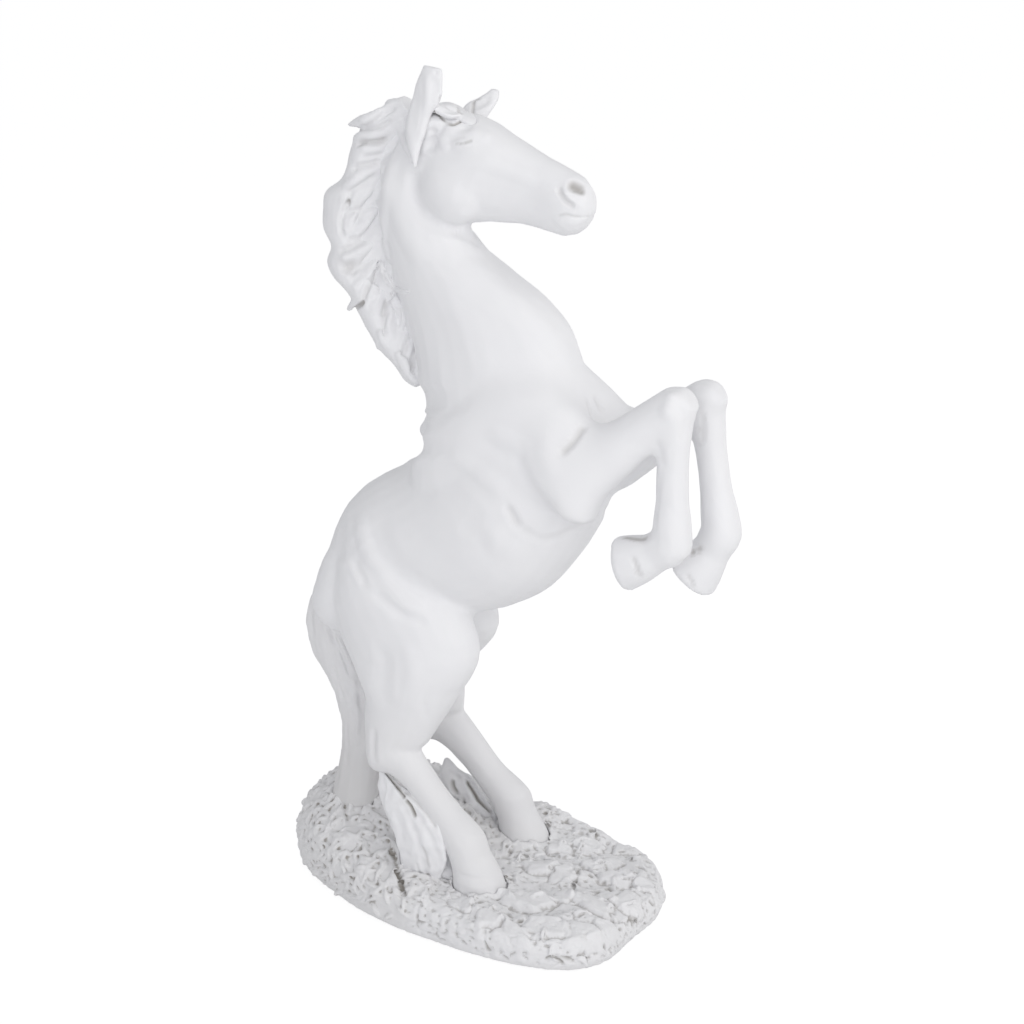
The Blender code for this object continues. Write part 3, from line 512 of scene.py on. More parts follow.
# Lines on the trunk and hind legs, in pixels: line, width and height in millimetres, and how much shade is
# painted into each.
TRUNK_LINES = [
    ([(524, 438), (520, 462), (535, 490), (560, 512)], 4.0, -0.35, 0.0),
    ([(550, 430), (545, 455), (556, 480)], 5.0, 0.4, 0.0),
    ([(585, 424), (577, 436), (569, 446), (559, 455)], 1.9, -1.1, 0.25),
    ([(485, 430), (507, 440), (530, 453)], 4.5, 0.40, 0.0),
    ([(480, 441), (503, 452), (526, 464)], 4.0, -0.25, 0.0),
    ([(448, 452), (478, 472), (508, 494)], 4.5, 0.40, 0.0),
    ([(445, 464), (474, 486), (502, 508)], 4.0, -0.25, 0.0),
    ([(506, 504), (513, 517), (520, 530)], 2.4, -0.9, 0.12),
    ([(519, 526), (532, 535), (548, 539), (572, 530), (600, 512)], 2.6, -0.5, 0.06),
    ([(361, 512), (363, 541), (374, 564), (397, 591), (424, 620)], 4.6, 0.75, 0.0),
    ([(380, 508), (383, 545), (405, 576), (452, 600)], 7.0, -0.7, 0.0),
    ([(354, 561), (361, 575), (368, 589)], 2.2, -0.5, 0.05),
    ([(346, 560), (353, 572), (361, 584)], 2.0, 0.3, 0.0),
    ([(372, 591), (396, 611), (428, 624)], 3.0, -0.6, 0.0),
    ([(345, 520), (340, 545), (338, 570)], 5.0, -0.5, 0.0),
    ([(384, 640), (383, 675), (384, 712)], 6.0, -0.8, 0.0),
    ([(410, 640), (413, 680), (411, 715)], 5.5, 0.6, 0.0),
    ([(425, 700), (425, 722)], 2.6, -0.45, 0.0),
    ([(364, 735), (361, 748), (366, 760)], 2.8, 0.8, 0.0),
    ([(374, 728), (373, 748), (376, 764)], 2.2, -0.9, 0.15),
    ([(440, 470), (470, 520), (485, 570)], 7.0, -0.3, 0.0),
    ([(484, 520), (500, 545), (530, 560)], 6.0, 0.4, 0.0),
    ([(594, 395), (598, 404), (604, 413)], 1.8, -0.6, 0.1),
]
# Lines on the legs and hooves, in pixels: line, width and height in millimetres, and how much shade is
# painted into each.
LIMB_LINES = [
    ([(633, 556), (636, 566), (641, 578)], 1.1, -0.6, 0.25),
    ([(622, 537), (634, 538), (648, 538)], 1.6, -0.5, 0.6),
    ([(655, 440), (660, 452), (663, 470)], 2.0, -0.4, 0.0),
    ([(680, 405), (684, 425), (684, 445)], 2.4, -0.5, 0.0),
    ([(672, 398), (666, 412)], 3.4, 0.7, 0.0),
    ([(697, 412), (699, 430), (699, 448)], 1.2, -0.5, 0.1),
    ([(703, 412), (703, 430), (702, 445)], 1.2, -0.5, 0.1),
    ([(684, 560), (693, 552), (703, 548)], 1.6, -0.4, 0.6),
    ([(687, 573), (690, 580), (694, 588)], 1.0, -0.4, 0.2),
    ([(662, 470), (658, 500), (655, 530)], 1.6, -0.3, 0.0),
    ([(452, 868), (470, 878), (490, 878)], 1.2, -0.35, 0.0),
    ([(455, 880), (475, 888), (497, 885)], 1.2, 0.3, 0.0),
]


def reaching_piece(name, body):
    """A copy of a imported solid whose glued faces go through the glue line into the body."""
    bm = copied_solids([name])
    if name.endswith("_ear"):
        low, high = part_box(name)
        level = low.z + (high.z - low.z) * 0.22
        bmesh.ops.bisect_plane(bm, geom=bm.verts[:] + bm.edges[:] + bm.faces[:],
                               plane_co=UP * level, plane_no=UP, clear_outer=True)
        bmesh.ops.holes_fill(bm, edges=open_rims(bm), sides=0)
    for vert in bm.verts:
        place, _, _, gap = body.find_nearest(vert.co)
        if 0.01 * MM < gap < 0.9 * MM:
            vert.co = place + (place - vert.co).normalized() * GLUE_REACH
    return object_of(name + "_reaching", bm)


# Where seats, saw cuts and muscle masses are rubbed even: pixel, radius of the whole effect and of
# its edge in millimetres, and passes.
SMOOTHED = [
    (438, 128, 6.0, 11.0, 14),
    (540, 430, 19.0, 29.0, 150),
    (575, 480, 9.0, 15.0, 60),
    (421, 412, 5.0, 10.0, 90),
]


def poll_between_ears():
    """The round of the skull that carries forelock and ears."""
    bm = bmesh.new()
    bmesh.ops.create_uvsphere(bm, u_segments=32, v_segments=20, radius=1.0)
    middle = beside(441, 124, -1.0)
    bm.transform(Matrix.Translation(middle) @ Matrix.Diagonal(Vector((8.0, 8.5, 5.0)) * MM).to_4x4())
    return object_of("poll", bm)


def figure_wax():
    """Body and legs as one skin again, as they were before the sculpt was sawn, with the seats of
    mane, forelock and ears filled."""
    legs = ["left_foreleg", "right_foreleg", "left_hind_leg", "right_hind_leg"]
    body = tree_of(["body"])
    glued = bpy.data.collections.new("glued_on")
    for name in legs + ["mane", "forelock", "left_ear", "right_ear"]:
        glued.objects.link(reaching_piece(name, body))
    glued.objects.link(poll_between_ears())
    skin = object_of("figure", copied_solids(["body"]))
    join = skin.modifiers.new("join", "BOOLEAN")
    join.operation = "UNION"
    join.operand_type = "COLLECTION"
    join.collection = glued
    join.solver = "EXACT"
    settle(skin)
    for piece in list(glued.objects):
        bpy.data.objects.remove(piece)
    bpy.data.collections.remove(glued)
    wax = Wax(keep_largest(melt(skin, FIGURE_GRAIN)))
    wax.relax(30)
    to_leg = tree_of(legs)
    off_body = np.array([body.find_nearest(Vector(place))[3] for place in wax.co])
    off_leg = np.array([to_leg.find_nearest(Vector(place))[3] for place in wax.co])
    off_poll = np.linalg.norm(wax.co - np.array(beside(441, 124, 0)), axis=1)
    hair = smooth_step(off_body, 0.3 * MM, 2.5 * MM) * (off_leg > 2 * MM)
    hair *= smooth_step(off_poll, 9 * MM, 15 * MM)
    wax.co -= wax.normal * (2.0 * MM * hair)[:, None]
    wax.co[:, 1] *= 1 - 0.35 * hair
    wax.store()
    off_joint = np.maximum(off_body, off_leg)
    wax.relax(50, where=fade_out(off_joint, 0.8 * MM, 2.5 * MM))
    for px, py, whole, gone, passes in SMOOTHED:
        wax.even_out_round(wax.under(px, py), whole * MM, gone * MM, passes, keep_size=False)
    far_arm = fade_out(off_joint, 5 * MM, 13 * MM)
    far_arm *= smooth_step(wax.co[:, 1], 4 * MM, 9 * MM) * smooth_step(wax.co[:, 2], 120 * MM, 130 * MM)
    wax.relax(90, where=far_arm, keep_size=False)
    return wax


def keep_largest(obj):
    """Drops what lies loose inside or beside the skin."""
    bm = bmesh.new()
    bm.from_mesh(obj.data)
    left, groups = set(bm.verts), []
    while left:
        group, open_ends = set(), [next(iter(left))]
        while open_ends:
            vert = open_ends.pop()
            if vert not in group:
                group.add(vert)
                open_ends.extend(link.other_vert(vert) for link in vert.link_edges)
        left -= group
        groups.append(group)
    main = max(groups, key=len)
    bmesh.ops.delete(bm, geom=[vert for vert in bm.verts if vert not in main], context="VERTS")
    bm.to_mesh(obj.data)
    bm.free()
    return obj


def finer_where(wax, wanted):
    """Halves the skin's grain where wanted(point) is true."""
    bm = bmesh.new()
    bm.from_mesh(wax.obj.data)
    chosen = [edge for edge in bm.edges if wanted(edge.verts[0].co) and wanted(edge.verts[1].co)]
    bmesh.ops.subdivide_edges(bm, edges=chosen, cuts=1, use_grid_fill=True)
    split_large_faces(bm)
    bm.to_mesh(wax.obj.data)
    bm.free()
    wax.load()


def draw_to_edge(wax, edge_line, held_ends):
    """Moves the skin on the horse's rear side forward or back, to the outline that the photograph
    shows. It fades to nothing 60 pixels, or 20 mm, in from the outline. Where held_ends is set, the
    first and the last row stay where they are."""
    seen = (wax.co - np.array(EYE)) @ np.array(CAMERA_AXES)
    px = PHOTO / 2 - seen[:, 0] / seen[:, 2] * FOCAL
    py = PHOTO / 2 + seen[:, 1] / seen[:, 2] * FOCAL
    wanted_x, wanted_y = np.array(edge_line, float).T
    edge = np.array([px[np.abs(py - row) < 2].min() for row in wanted_y])
    shift = wanted_x - edge
    if held_ends:
        shift[0] = shift[-1] = 0
    move = np.interp(py, wanted_y, shift) * PIXEL / math.cos(math.radians(CAMERA_TURN))
    beyond = px - np.interp(py, wanted_y, edge)
    wax.co[:, 0] += move * fade_out(beyond, 5, 60)
    wax.store()


def in_head(point):
    return point.z > 238 * MM and point.x > -14 * MM


def carve_figure():
    wax = figure_wax()
    wax.seen_strokes(FACE_MASSES + NECK_LINES)
    draw_to_edge(wax, WITHERS_EDGE, held_ends=True)
    draw_to_edge(wax, CROUP_EDGE, held_ends=True)
    wax.even_out_round(beside(425, 418, 0), 15 * MM, 26 * MM, 40)
    wax.seen_strokes(TRUNK_LINES)
    wax.seen_strokes(LIMB_LINES, both=False)
    painted_shade_before = wax.painted_shade
    places = wax.co.copy()
    wax.store()
    finer_where(wax, in_head)
    wax.relax(3)
    marks = [wax.under(462, 142), wax.under(574, 193), wax.under(578, 212)]
    marks += [mirrored(mark) for mark in marks]
    finer_where(wax, lambda point: any((point - mark).length < 6.5 * MM for mark in marks))
    wax.relax(2)
    carry_painted_shade(wax, places, painted_shade_before)
    wax.seen_strokes(FACE_LINES)
    # Painted shade on the figure's lower parts: full below 40 mm, none above 100 mm.
    wax.painted_shade = np.maximum(wax.painted_shade, 0.12 * fade_out(wax.co[:, 2], 40 * MM, 100 * MM))
    wax.texture(9 * MM, 0.10 * MM, 3.0)
    wax.store()
    return wax


def carry_painted_shade(wax, places, painted_shade):
    """Gives the finer skin the painted shade that the coarser one had at those places."""
    dark = np.nonzero(painted_shade > 0.02)[0]
    tree = KDTree(len(dark))
    for number, at in enumerate(dark):
        tree.insert(Vector(places[at]), number)
    tree.balance()
    for number, place in enumerate(wax.co):
        _, found, gap = tree.find(Vector(place))
        if gap < FIGURE_GRAIN:
            wax.painted_shade[number] = painted_shade[dark[found]]


def split_figure(wax):
    """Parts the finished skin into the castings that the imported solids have."""
    obj = wax.finish()
    cuts = {}
    for side in ("left", "right"):
        cuts[side] = (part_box(side + "_hind_leg")[1].z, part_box(side + "_foreleg"))
    kinds = ["body", "left_foreleg", "right_foreleg", "left_hind_leg", "right_hind_leg"]

    def kind_of(centre):
        side = "left" if centre.y > 0 else "right"
        hind_top, (low, high) = cuts[side]
        if centre.z < hind_top and centre.x < HIND_LEGS_END:
            return side + "_hind_leg"
        past = (Vector((centre.x, 0, centre.z)) - ARM_CUT).dot(DOWN_ARM)
        if past > 0 and centre.z < high.z + 3 * MM and abs(centre.y) > 0.5 * MM and centre.x > 44 * MM:
            return side + "_foreleg"
        if centre.x > TRUNK_END and centre.z < 200 * MM:
            return side + "_foreleg"
        return "body"

    made = {}
    for kind in kinds:
        bm = bmesh.new()
        bm.from_mesh(obj.data)
        gone = [face for face in bm.faces if kind_of(face.calc_center_median()) != kind]
        bmesh.ops.delete(bm, geom=gone, context="FACES")
        bm.normal_update()
        rims = open_rims(bm)
        for edge in rims:
            edge.smooth = False
        wall = bmesh.ops.extrude_edge_only(bm, edges=rims)["geom"]
        inner = {part for part in wall if isinstance(part, bmesh.types.BMVert)}
        for vert in inner:
            outer = next(link.other_vert(vert) for link in vert.link_edges
                         if link.other_vert(vert) not in inner)
            vert.co = outer.co - outer.normal * RIM_DEPTH
        bmesh.ops.holes_fill(bm, edges=open_rims(bm), sides=0)
        inside = [face for face in bm.faces if any(vert in inner for vert in face.verts)]
        for face in inside:
            face.smooth = False
        bmesh.ops.triangulate(bm, faces=inside)
        made[kind] = object_of(kind + "_skin", bm)
    bpy.data.objects.remove(obj)
    return made


# The mane's mass in rows down the neck, in pixels from its outer edge to where it runs out on the
# neck, with half its thickness in millimetres.
MANE_ROWS = [
    ((403, 96), (420, 116), 0, 4.0), ((389, 103), (408, 130), 0, 5.5), ((371, 116), (396, 147), 0, 7.0),
    ((357, 139), (391, 164), 0, 8.0), ((351, 163), (387, 180), 0, 8.4), ((345, 177), (385, 190), 0, 8.5),
    ((329, 190), (383, 203), 0, 8.6), ((326.5, 206), (381, 218), 0, 8.8), ((327, 226), (381, 236), 0, 8.8),
    ((335, 244), (382, 251), 0, 8.8), ((330.5, 259), (384, 264), 0, 8.8), ((337, 275), (387, 277), 0, 8.8),
    ((350, 288), (391, 288), 0, 8.8), ((359, 304), (397, 299), 0, 8.6), ((370, 326), (405, 313), 0, 8.4),
    ((382, 347), (414, 330), 0, 7.8), ((397, 364), (424, 345), 0, 7.0), ((408, 381), (432, 362), 0, 5.6),
    ((417, 387), (437, 374), 0, 4.0),
]
# Lock ends that stand out of the mass, in pixels from root to tip, with half-width in millimetres
# and how far from the horse's middle the root, the middle and the tip lie.
MANE_ENDS = [
    ([(384, 114), (371, 119), (359, 122), (348, 125)], 2.3, (-4.0, -5.5, -3.0)),
    ([(374, 284), (366, 294), (357, 302), (347, 310)], 2.9, (-5.0, -6.8, -3.0)),
    ([(388, 315), (382, 330), (379, 341), (378, 350)], 2.0, (-5.0, -6.8, -4.0)),
    ([(392, 340), (396, 355), (402, 366), (408, 378)], 2.0, (-5.0, -6.0, -4.0)),
    ([(398, 352), (405, 366), (411, 377), (418, 386)], 1.9, (-7.0, -6.5, -4.0)),
    ([(380, 330), (385, 342), (390, 350), (396, 356)], 1.8, (-8.0, -7.0, -4.0)),
    ([(424, 344), (431, 353), (432, 360), (428, 368)], 1.2, (-8.5, -9.5, -9.0)),
    ([(396, 312), (402, 325), (404, 338), (400, 350)], 1.4, (-9.0, -9.8, -9.0)),
]
# Locks that lie on the neck, in pixels, with half-width in millimetres.
LYING_LOCKS = [
    ([(401, 120), (403, 134), (408, 149), (415, 166)], 2.0),
    ([(380, 262), (387, 278), (395, 288), (405, 292), (415, 289)], 1.5),
    ([(391, 292), (398, 306), (402, 322), (398, 340)], 1.5),
]
# Waves of the mane: line, width, height in millimetres before it is multiplied, and how much shade is
# painted into it.
WAVE_HEIGHT = 1.4
MANE_WAVES = [
    ([(384, 186), (372, 194), (356, 198), (338, 200)], 2.4, 0.5, 0.0),
    ([(383, 196), (372, 205), (357, 210), (341, 214)], 1.8, -0.8, 0.06),
    ([(384, 206), (374, 218), (358, 226), (340, 230)], 2.4, 0.6, 0.0),
    ([(384, 217), (376, 227), (362, 237), (346, 241)], 1.8, -0.8, 0.06),
    ([(386, 228), (378, 240), (366, 248), (352, 250)], 2.2, 0.5, 0.0),
    ([(386, 240), (380, 250), (368, 262), (356, 272)], 1.8, -0.7, 0.06),
    ([(388, 252), (382, 264), (374, 274), (364, 284)], 2.2, 0.5, 0.0),
    ([(400, 99), (386, 107), (372, 117), (358, 123)], 2.6, 0.6, 0.0),
    ([(396, 107), (384, 114), (372, 122), (360, 127)], 1.8, -0.8, 0.05),
    ([(392, 119), (382, 126), (371, 128), (357, 131)], 1.6, -0.9, 0.10),
    ([(390, 130), (378, 134), (364, 135), (354, 139)], 2.3, 0.6, 0.0),
    ([(388, 138), (380, 141.5), (363, 142), (355, 145)], 1.7, -1.2, 0.30),
    ([(386, 148), (374, 149), (360, 150)], 2.2, 0.5, 0.0),
    ([(384, 154), (374, 156), (362, 158)], 1.6, -0.6, 0.05),
    ([(382, 160), (373, 163.5), (360, 166), (351, 171)], 1.7, -0.9, 0.12),
    ([(378, 168), (366, 173), (354, 181), (341, 188)], 2.5, 0.7, 0.0),
    ([(376, 174), (366, 182), (354, 189), (345, 194)], 1.8, -0.8, 0.08),
    ([(374, 184), (364, 196), (356, 210), (350, 226)], 2.0, 0.55, 0.0),
    ([(375, 190), (367, 203), (359, 217), (353, 231)], 1.5, -0.8, 0.08),
    ([(353, 191), (346, 206), (341, 222), (343, 237)], 1.5, -0.8, 0.08),
    ([(376, 204), (370, 217), (362, 230), (352, 240)], 2.2, 0.6, 0.0),
    ([(377, 216), (369, 231), (359, 243), (347, 249), (338, 253)], 2.0, -1.0, 0.12),
    ([(376, 238), (365, 250), (352, 256), (338, 258)], 2.4, 0.6, 0.0),
    ([(338, 264), (347, 268), (359, 262)], 3.0, -1.5, 0.25),
    ([(376, 249), (367, 259), (357, 268), (350, 276)], 1.8, -1.0, 0.20),
    ([(380, 254), (371, 270), (361, 282), (353, 291)], 2.4, 0.8, 0.0),
    ([(381, 264), (373, 279), (366, 291), (363, 303)], 1.6, -1.0, 0.18),
    ([(382, 270), (388, 280), (393, 291), (386, 303), (382, 318)], 1.4, -1.2, 0.25),
    ([(385, 285), (377, 300), (373, 316)], 2.2, 0.6, 0.0),
    ([(391, 297), (391, 311), (389, 327), (393, 341)], 2.2, 0.6, 0.0),
    ([(387, 310), (384, 325), (385, 338)], 1.5, -0.8, 0.12),
    ([(398, 304), (399, 317), (397, 329)], 1.3, -0.6, 0.05),
    ([(405, 318), (408, 331), (403, 346)], 2.0, 0.5, 0.0),
    ([(411, 330), (406, 343), (403, 357)], 1.5, -0.8, 0.10),
    ([(418, 335), (416, 349), (412, 362), (413, 374)], 1.5, -0.9, 0.12),
    ([(424, 347), (423, 359), (419, 373)], 2.0, 0.5, 0.0),
    ([(430, 351), (427, 362), (424, 375)], 1.3, -0.7, 0.08),
    ([(349, 199), (348, 203), (346, 207)], 1.1, -1.5, 0.9),
    ([(365, 298), (360, 305), (355, 310)], 1.2, -1.4, 0.7),
    ([(389, 143), (396, 152), (405, 160), (414, 167)], 1.2, -0.9, 0.20),
]


def mane_line(pixels, sides, shift=0.0):
    """The lock's pixels as points, each that far from the horse's middle."""
    root, middle, tip = sides
    points = []
    for number, (px, py) in enumerate(pixels):
        t = number / (len(pixels) - 1)
        y = root * (1 - t) ** 2 + (4 * middle - root - tip) * t * (1 - t) + tip * t * t
        points.append(beside(px + shift * 0.5, py + shift, y))
    return points


def pair_of_locks(bm, near, far, half_width):
    """A lock along the near line, and one along the far line on the horse's left side."""
    for line, out in ((near, -ACROSS), (far, ACROSS)):
        lock_of_hair(bm, line, half_width * MM, half_width * LOCK_FLATNESS * MM, out)


def carve_mane(lying):
    chance = random.Random(11)
    bm = bmesh.new()
    paddle(bm, MANE_ROWS, 24, 0.30)
    for pixels, half_width, sides in MANE_ENDS:
        far = [mirrored(point) for point in mane_line(pixels, sides, chance.uniform(-4, 4))]
        pair_of_locks(bm, mane_line(pixels, sides), far, half_width)
    for (_, half_width), (near, far) in zip(LYING_LOCKS, lying):
        pair_of_locks(bm, near, far, half_width)
    wax = Wax(keep_largest(melt(object_of("mane_hair", bm), HAIR_GRAIN)))
    wax.relax(14)
    wax.seen_strokes([(line, width, height * WAVE_HEIGHT, painted_shade) for line, width, height, painted_shade in MANE_WAVES])
    wax.texture(4 * MM, 0.16 * MM, 2.0)
    return wax.finish()


# The ears in rows from the root up, as the paddle takes them, and the strokes on them, some with shade
# painted into them.
NEAR_EAR = [
    ((414.5, 168), (416, 168), -12.2, 0.5),
    ((409, 150), (419.5, 151), -11.6, 1.5),
    ((406, 134), (424.5, 135), -11.0, 2.2),
    ((407, 122), (428, 124), -10.5, 2.5),
    ((409, 112), (432, 113), -10.3, 2.5),
    ((411, 103), (440, 104), -10.0, 2.3),
    ((413.5, 95), (442, 95), -10.0, 2.1),
    ((416, 84), (442.5, 84), -10.0, 1.8),
    ((421, 72), (442.5, 73), -10.0, 1.5),
    ((424, 65), (441.5, 69), -10.0, 1.1),
]
FAR_EAR = [
    ((464, 120), (483, 125), 7.0, 2.4),
    ((463, 109), (487, 117), 9.0, 2.5),
    ((469, 102), (492, 110), 10.5, 2.2),
    ((478, 98), (497, 102), 12.0, 1.9),
    ((487, 92.5), (499, 96), 13.0, 1.5),
    ((492, 88.5), (499, 90.5), 13.5, 1.0),
]
NEAR_EAR_LINES = [
    ([(427, 72), (427, 95), (426, 118), (420, 142)], 2.0, 0.45),
    ([(436, 78), (436, 88), (435, 98)], 2.4, -0.55),
    ([(438.5, 67), (438, 73)], 1.3, -1.2),
    ([(441, 98), (440, 104)], 1.4, -0.7, 0.12),
    ([(434, 111), (435.5, 114)], 1.1, -1.4, 1.0),
    ([(417, 90), (414, 112), (411, 135)], 2.4, -0.3),
]
FAR_EAR_LINES = [
    ([(470, 108), (481, 104), (492, 97)], 2.2, -0.8, 0.08),
    ([(466, 103), (474, 101), (480, 98.5)], 1.0, -0.6, 0.5),
    ([(468, 115), (476, 118), (484, 119)], 1.2, -0.5, 0.25),
]


def carve_ear(side):
    rows, lines = (NEAR_EAR, NEAR_EAR_LINES) if side == "right" else (FAR_EAR, FAR_EAR_LINES)
    bm = bmesh.new()
    paddle(bm, rows)
    wax = Wax(melt(object_of(side + "_ear_skin", bm), EAR_GRAIN))
    wax.relax(4)
    wax.seen_strokes(lines, both=False)
    return wax.finish()


# The forelock's locks from root to tip, as those of the mane are given, and the strokes on it, with shade
# painted into the crevice and hole under it.
FORELOCKS = [
    ([(424, 106.5), (438, 108.5), (451, 115.5), (463, 113.5)], 3.0, (-6.5, -7.0, -4.5)),
    ([(428, 110), (444, 108), (456, 111), (463, 115)], 2.4, (-4, -4, -2)),
    ([(432, 109), (448, 107), (459, 111), (466, 115)], 2.2, (0, 0, 0)),
    ([(436, 110), (450, 108), (460, 111), (467, 115)], 2.4, (5, 5, 3)),
]
FORELOCK_LINES = [
    ([(432.5, 110.5), (434.5, 113)], 1.0, -0.7, 1.0),
    ([(440, 110), (449, 112), (457, 113)], 1.2, -0.3),
    ([(457, 106), (459, 111), (463, 115)], 1.0, -0.5, 0.4),
]


def carve_forelock():
    bm = copied_solids(["forelock"], -0.5 * MM)
    for pixels, half_width, sides in FORELOCKS:
        line = mane_line(pixels, sides)
        lock_of_hair(bm, line, half_width * MM, 1.6 * MM, UP, ridges=1, ridge=0.0)
    wax = Wax(keep_largest(melt(object_of("forelock_hair", bm), EAR_GRAIN)))
    wax.relax(8)
    wax.seen_strokes(FORELOCK_LINES, both=False)
    return wax.finish()


# Grooves and strands on the tail, in pixels: line, width and height in millimetres, and how much shade is
# painted into each.
TAIL_LINES = [
    ([(329, 626), (336, 643), (345, 662), (350, 680)], 1.6, -0.8, 0.12),
    ([(335, 634), (345, 652), (356, 672)], 1.4, 0.5, 0.0),
    ([(330, 665), (337, 680), (343, 700)], 1.5, -0.6, 0.08),
    ([(318, 610), (324, 640), (334, 672), (340, 710)], 1.6, -0.4, 0.04),
    ([(348, 690), (352, 715), (352, 745)], 1.5, -0.5, 0.08),
    ([(358, 680), (361, 705), (360, 735)], 1.5, -0.45, 0.05),
    ([(345, 715), (347, 740), (346, 765)], 1.4, -0.45, 0.08),
]


def carve_tail():
    wax = Wax(melt(object_of("tail_hair", copied_solids(["tail"], SEAM_OVERLAP)), HAIR_GRAIN))
    wax.relax(14)
    draw_to_edge(wax, TAIL_EDGE, held_ends=False)
    low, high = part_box("tail")
    chance = random.Random(5)
    for k in range(TAIL_STRANDS):
        start = 2 * math.pi * (k + chance.uniform(-0.35, 0.35)) / TAIL_STRANDS
        twist = chance.uniform(-0.8, 0.8)
        first, last = chance.uniform(0, 0.35), chance.uniform(0.6, 0.92)
        line = []
        for step in range(9):
            level = high.z - (first + (last - first) * step / 8) * (high.z - low.z)
            band = wax.co[np.abs(wax.co[:, 2] - level) < 1.2 * MM]
            if not len(band):
                continue
            middle = Vector(((band[:, 0].min() + band[:, 0].max()) / 2, 0, level))
            angle = start + twist * step / 8 + 0.16 * math.sin(step * 1.3 + k)
            way = Vector((math.cos(angle), math.sin(angle), 0))
            hit = wax.tree.ray_cast(middle + way * 40 * MM, -way)[0]
            if hit is not None:
                line.append(hit)
        if len(line) > 3:
            deep = k % 2
            # The deep grooves get a little painted shade.
            wax.stroke(line, (2.2 if deep else 2.6) * MM, (-0.6 if deep else 0.45) * MM, 0.05 * deep)
    wax.store()
    wax.seen_strokes(TAIL_LINES, both=False)
    # Painted shade over the whole tail, stronger towards its lower end, where the hind leg shades it.
    wax.painted_shade = np.maximum(wax.painted_shade, 0.12 + 0.20 * fade_out(wax.co[:, 2], 35 * MM, 75 * MM))
    wax.texture(5 * MM, 0.2 * MM, 4.0)
    return wax.finish()


# The broad leaf of each tuft in rows from its foot up to its tip, in pixels of its two edges, with
# how far to the horse's left it stands and half its thickness, in millimetres.
NEAR_LEAF = [
    ((406, 899), (434, 895), -22.0, 1.9),
    ((403, 880), (440, 880), -23.6, 2.0),
    ((401, 862), (447.5, 862), -24.8, 2.0),
    ((397, 845), (445.5, 846), -25.2, 1.9),
    ((391, 825), (441.5, 828), -24.8, 1.8),
    ((384, 804), (433, 812), -23.8, 1.6),
    ((386, 790), (419, 798), -22.8, 1.4),
    ((384, 778), (401, 786), -21.4, 1.1),
    ((381.5, 766), (386, 770), -20.2, 0.6),
]
FAR_LEAF = [
    ((468, 826), (494, 823), 9.6, 1.7),
    ((465, 812), (497, 808), 10.4, 1.9),
    ((462, 800), (494, 798), 11.4, 1.9),
    ((458, 788), (485, 788), 12.4, 1.7),
    ((461, 777), (479, 779), 13.4, 1.4),
    ((466, 768), (471, 768), 14.0, 0.8),
]
# Folds and cracks on each tuft's leaf, in pixels: line, width and height in millimetres, and how much shade
# is painted into each.
NEAR_FOLDS = [
    ([(386, 780), (396, 808), (405, 845), (412, 888)], 3.2, -0.30, 0.0),
    ([(390, 784), (403, 815), (413, 852), (419, 888)], 3.4, 0.30, 0.0),
    ([(398, 795), (411, 822), (421, 852), (428, 884)], 2.0, -0.5, 0.05),
    ([(404, 799), (418, 826), (429, 856), (434, 878)], 3.0, 0.2, 0.0),
    ([(413, 806), (426, 830), (437, 852), (443, 868)], 1.8, -0.4, 0.04),
    ([(384, 770), (391, 778), (398, 787), (405, 799)], 1.0, -1.6, 1.0),
    ([(405, 799), (411, 807), (415, 818)], 1.0, -1.4, 1.0),
    ([(404, 790), (416, 802), (427, 814), (436, 828)], 0.9, -0.8, 0.30),
    ([(421, 845), (426, 858), (429, 870)], 1.2, -0.7, 0.25),
    ([(427, 874), (430, 884), (433, 892)], 1.3, -1.2, 0.7),
    ([(416, 862), (420, 873), (424, 882)], 1.0, -0.6, 0.15),
    ([(397, 876), (399, 886), (403, 896)], 1.5, -1.2, 0.8),
]
FAR_FOLDS = [
    ([(470, 768), (478, 781), (484, 790), (491, 794), (496, 802), (492.5, 813)], 1.1, -1.7, 1.0),
    ([(452, 779), (453, 788), (458, 795)], 1.5, -1.3, 0.7),
    ([(466, 782), (471, 795), (474, 810)], 2.2, 0.5, 0.0),
    ([(462, 796), (466, 808), (470, 818)], 1.4, -0.8, 0.3),
    ([(430, 768), (437, 776), (441, 786)], 2.0, -0.7, 0.1),
]


def carve_tuft(side):
    leaf, folds = (NEAR_LEAF, NEAR_FOLDS) if side == "right" else (FAR_LEAF, FAR_FOLDS)
    bm = copied_solids([side + "_grass_tuft"])
    paddle(bm, leaf)
    wax = Wax(keep_largest(melt(object_of(side + "_tuft_grass", bm), HAIR_GRAIN)))
    wax.relax(10)
    wax.seen_strokes(folds, both=False)
    wax.texture(3.0 * MM, 0.45 * MM, 5.0)
    return wax.finish()


# Flat stones that show, in pixels: middle, then half-length and half-width in millimetres, and turn
# in degrees.
STONES = [
    (525, 900, 9.4, 5.0, 8), (539, 865, 6.2, 4.0, 5), (563, 874, 4.6, 3.6, 35), (592, 903, 7.6, 4.2, -8),
    (545, 927, 7.6, 4.6, 10), (584, 934, 7.0, 5.0, 20), (628, 902, 5.4, 5.0, 60), (616, 876, 6.0, 4.2, 20),
    (644, 886, 3.8, 3.6, 40), (512, 935, 6.5, 4.0, -5), (488, 918, 4.4, 3.4, 10), (462, 905, 4.6, 3.2, -15),
    (562, 897, 3.8, 3.2, 0), (594, 868, 4.6, 3.4, -20), (610, 932, 4.2, 4.6, 70),
    (590, 846, 5.2, 3.4, 35), (560, 846, 4.6, 2.8, 35), (625, 850, 4.4, 3.6, 30),
]
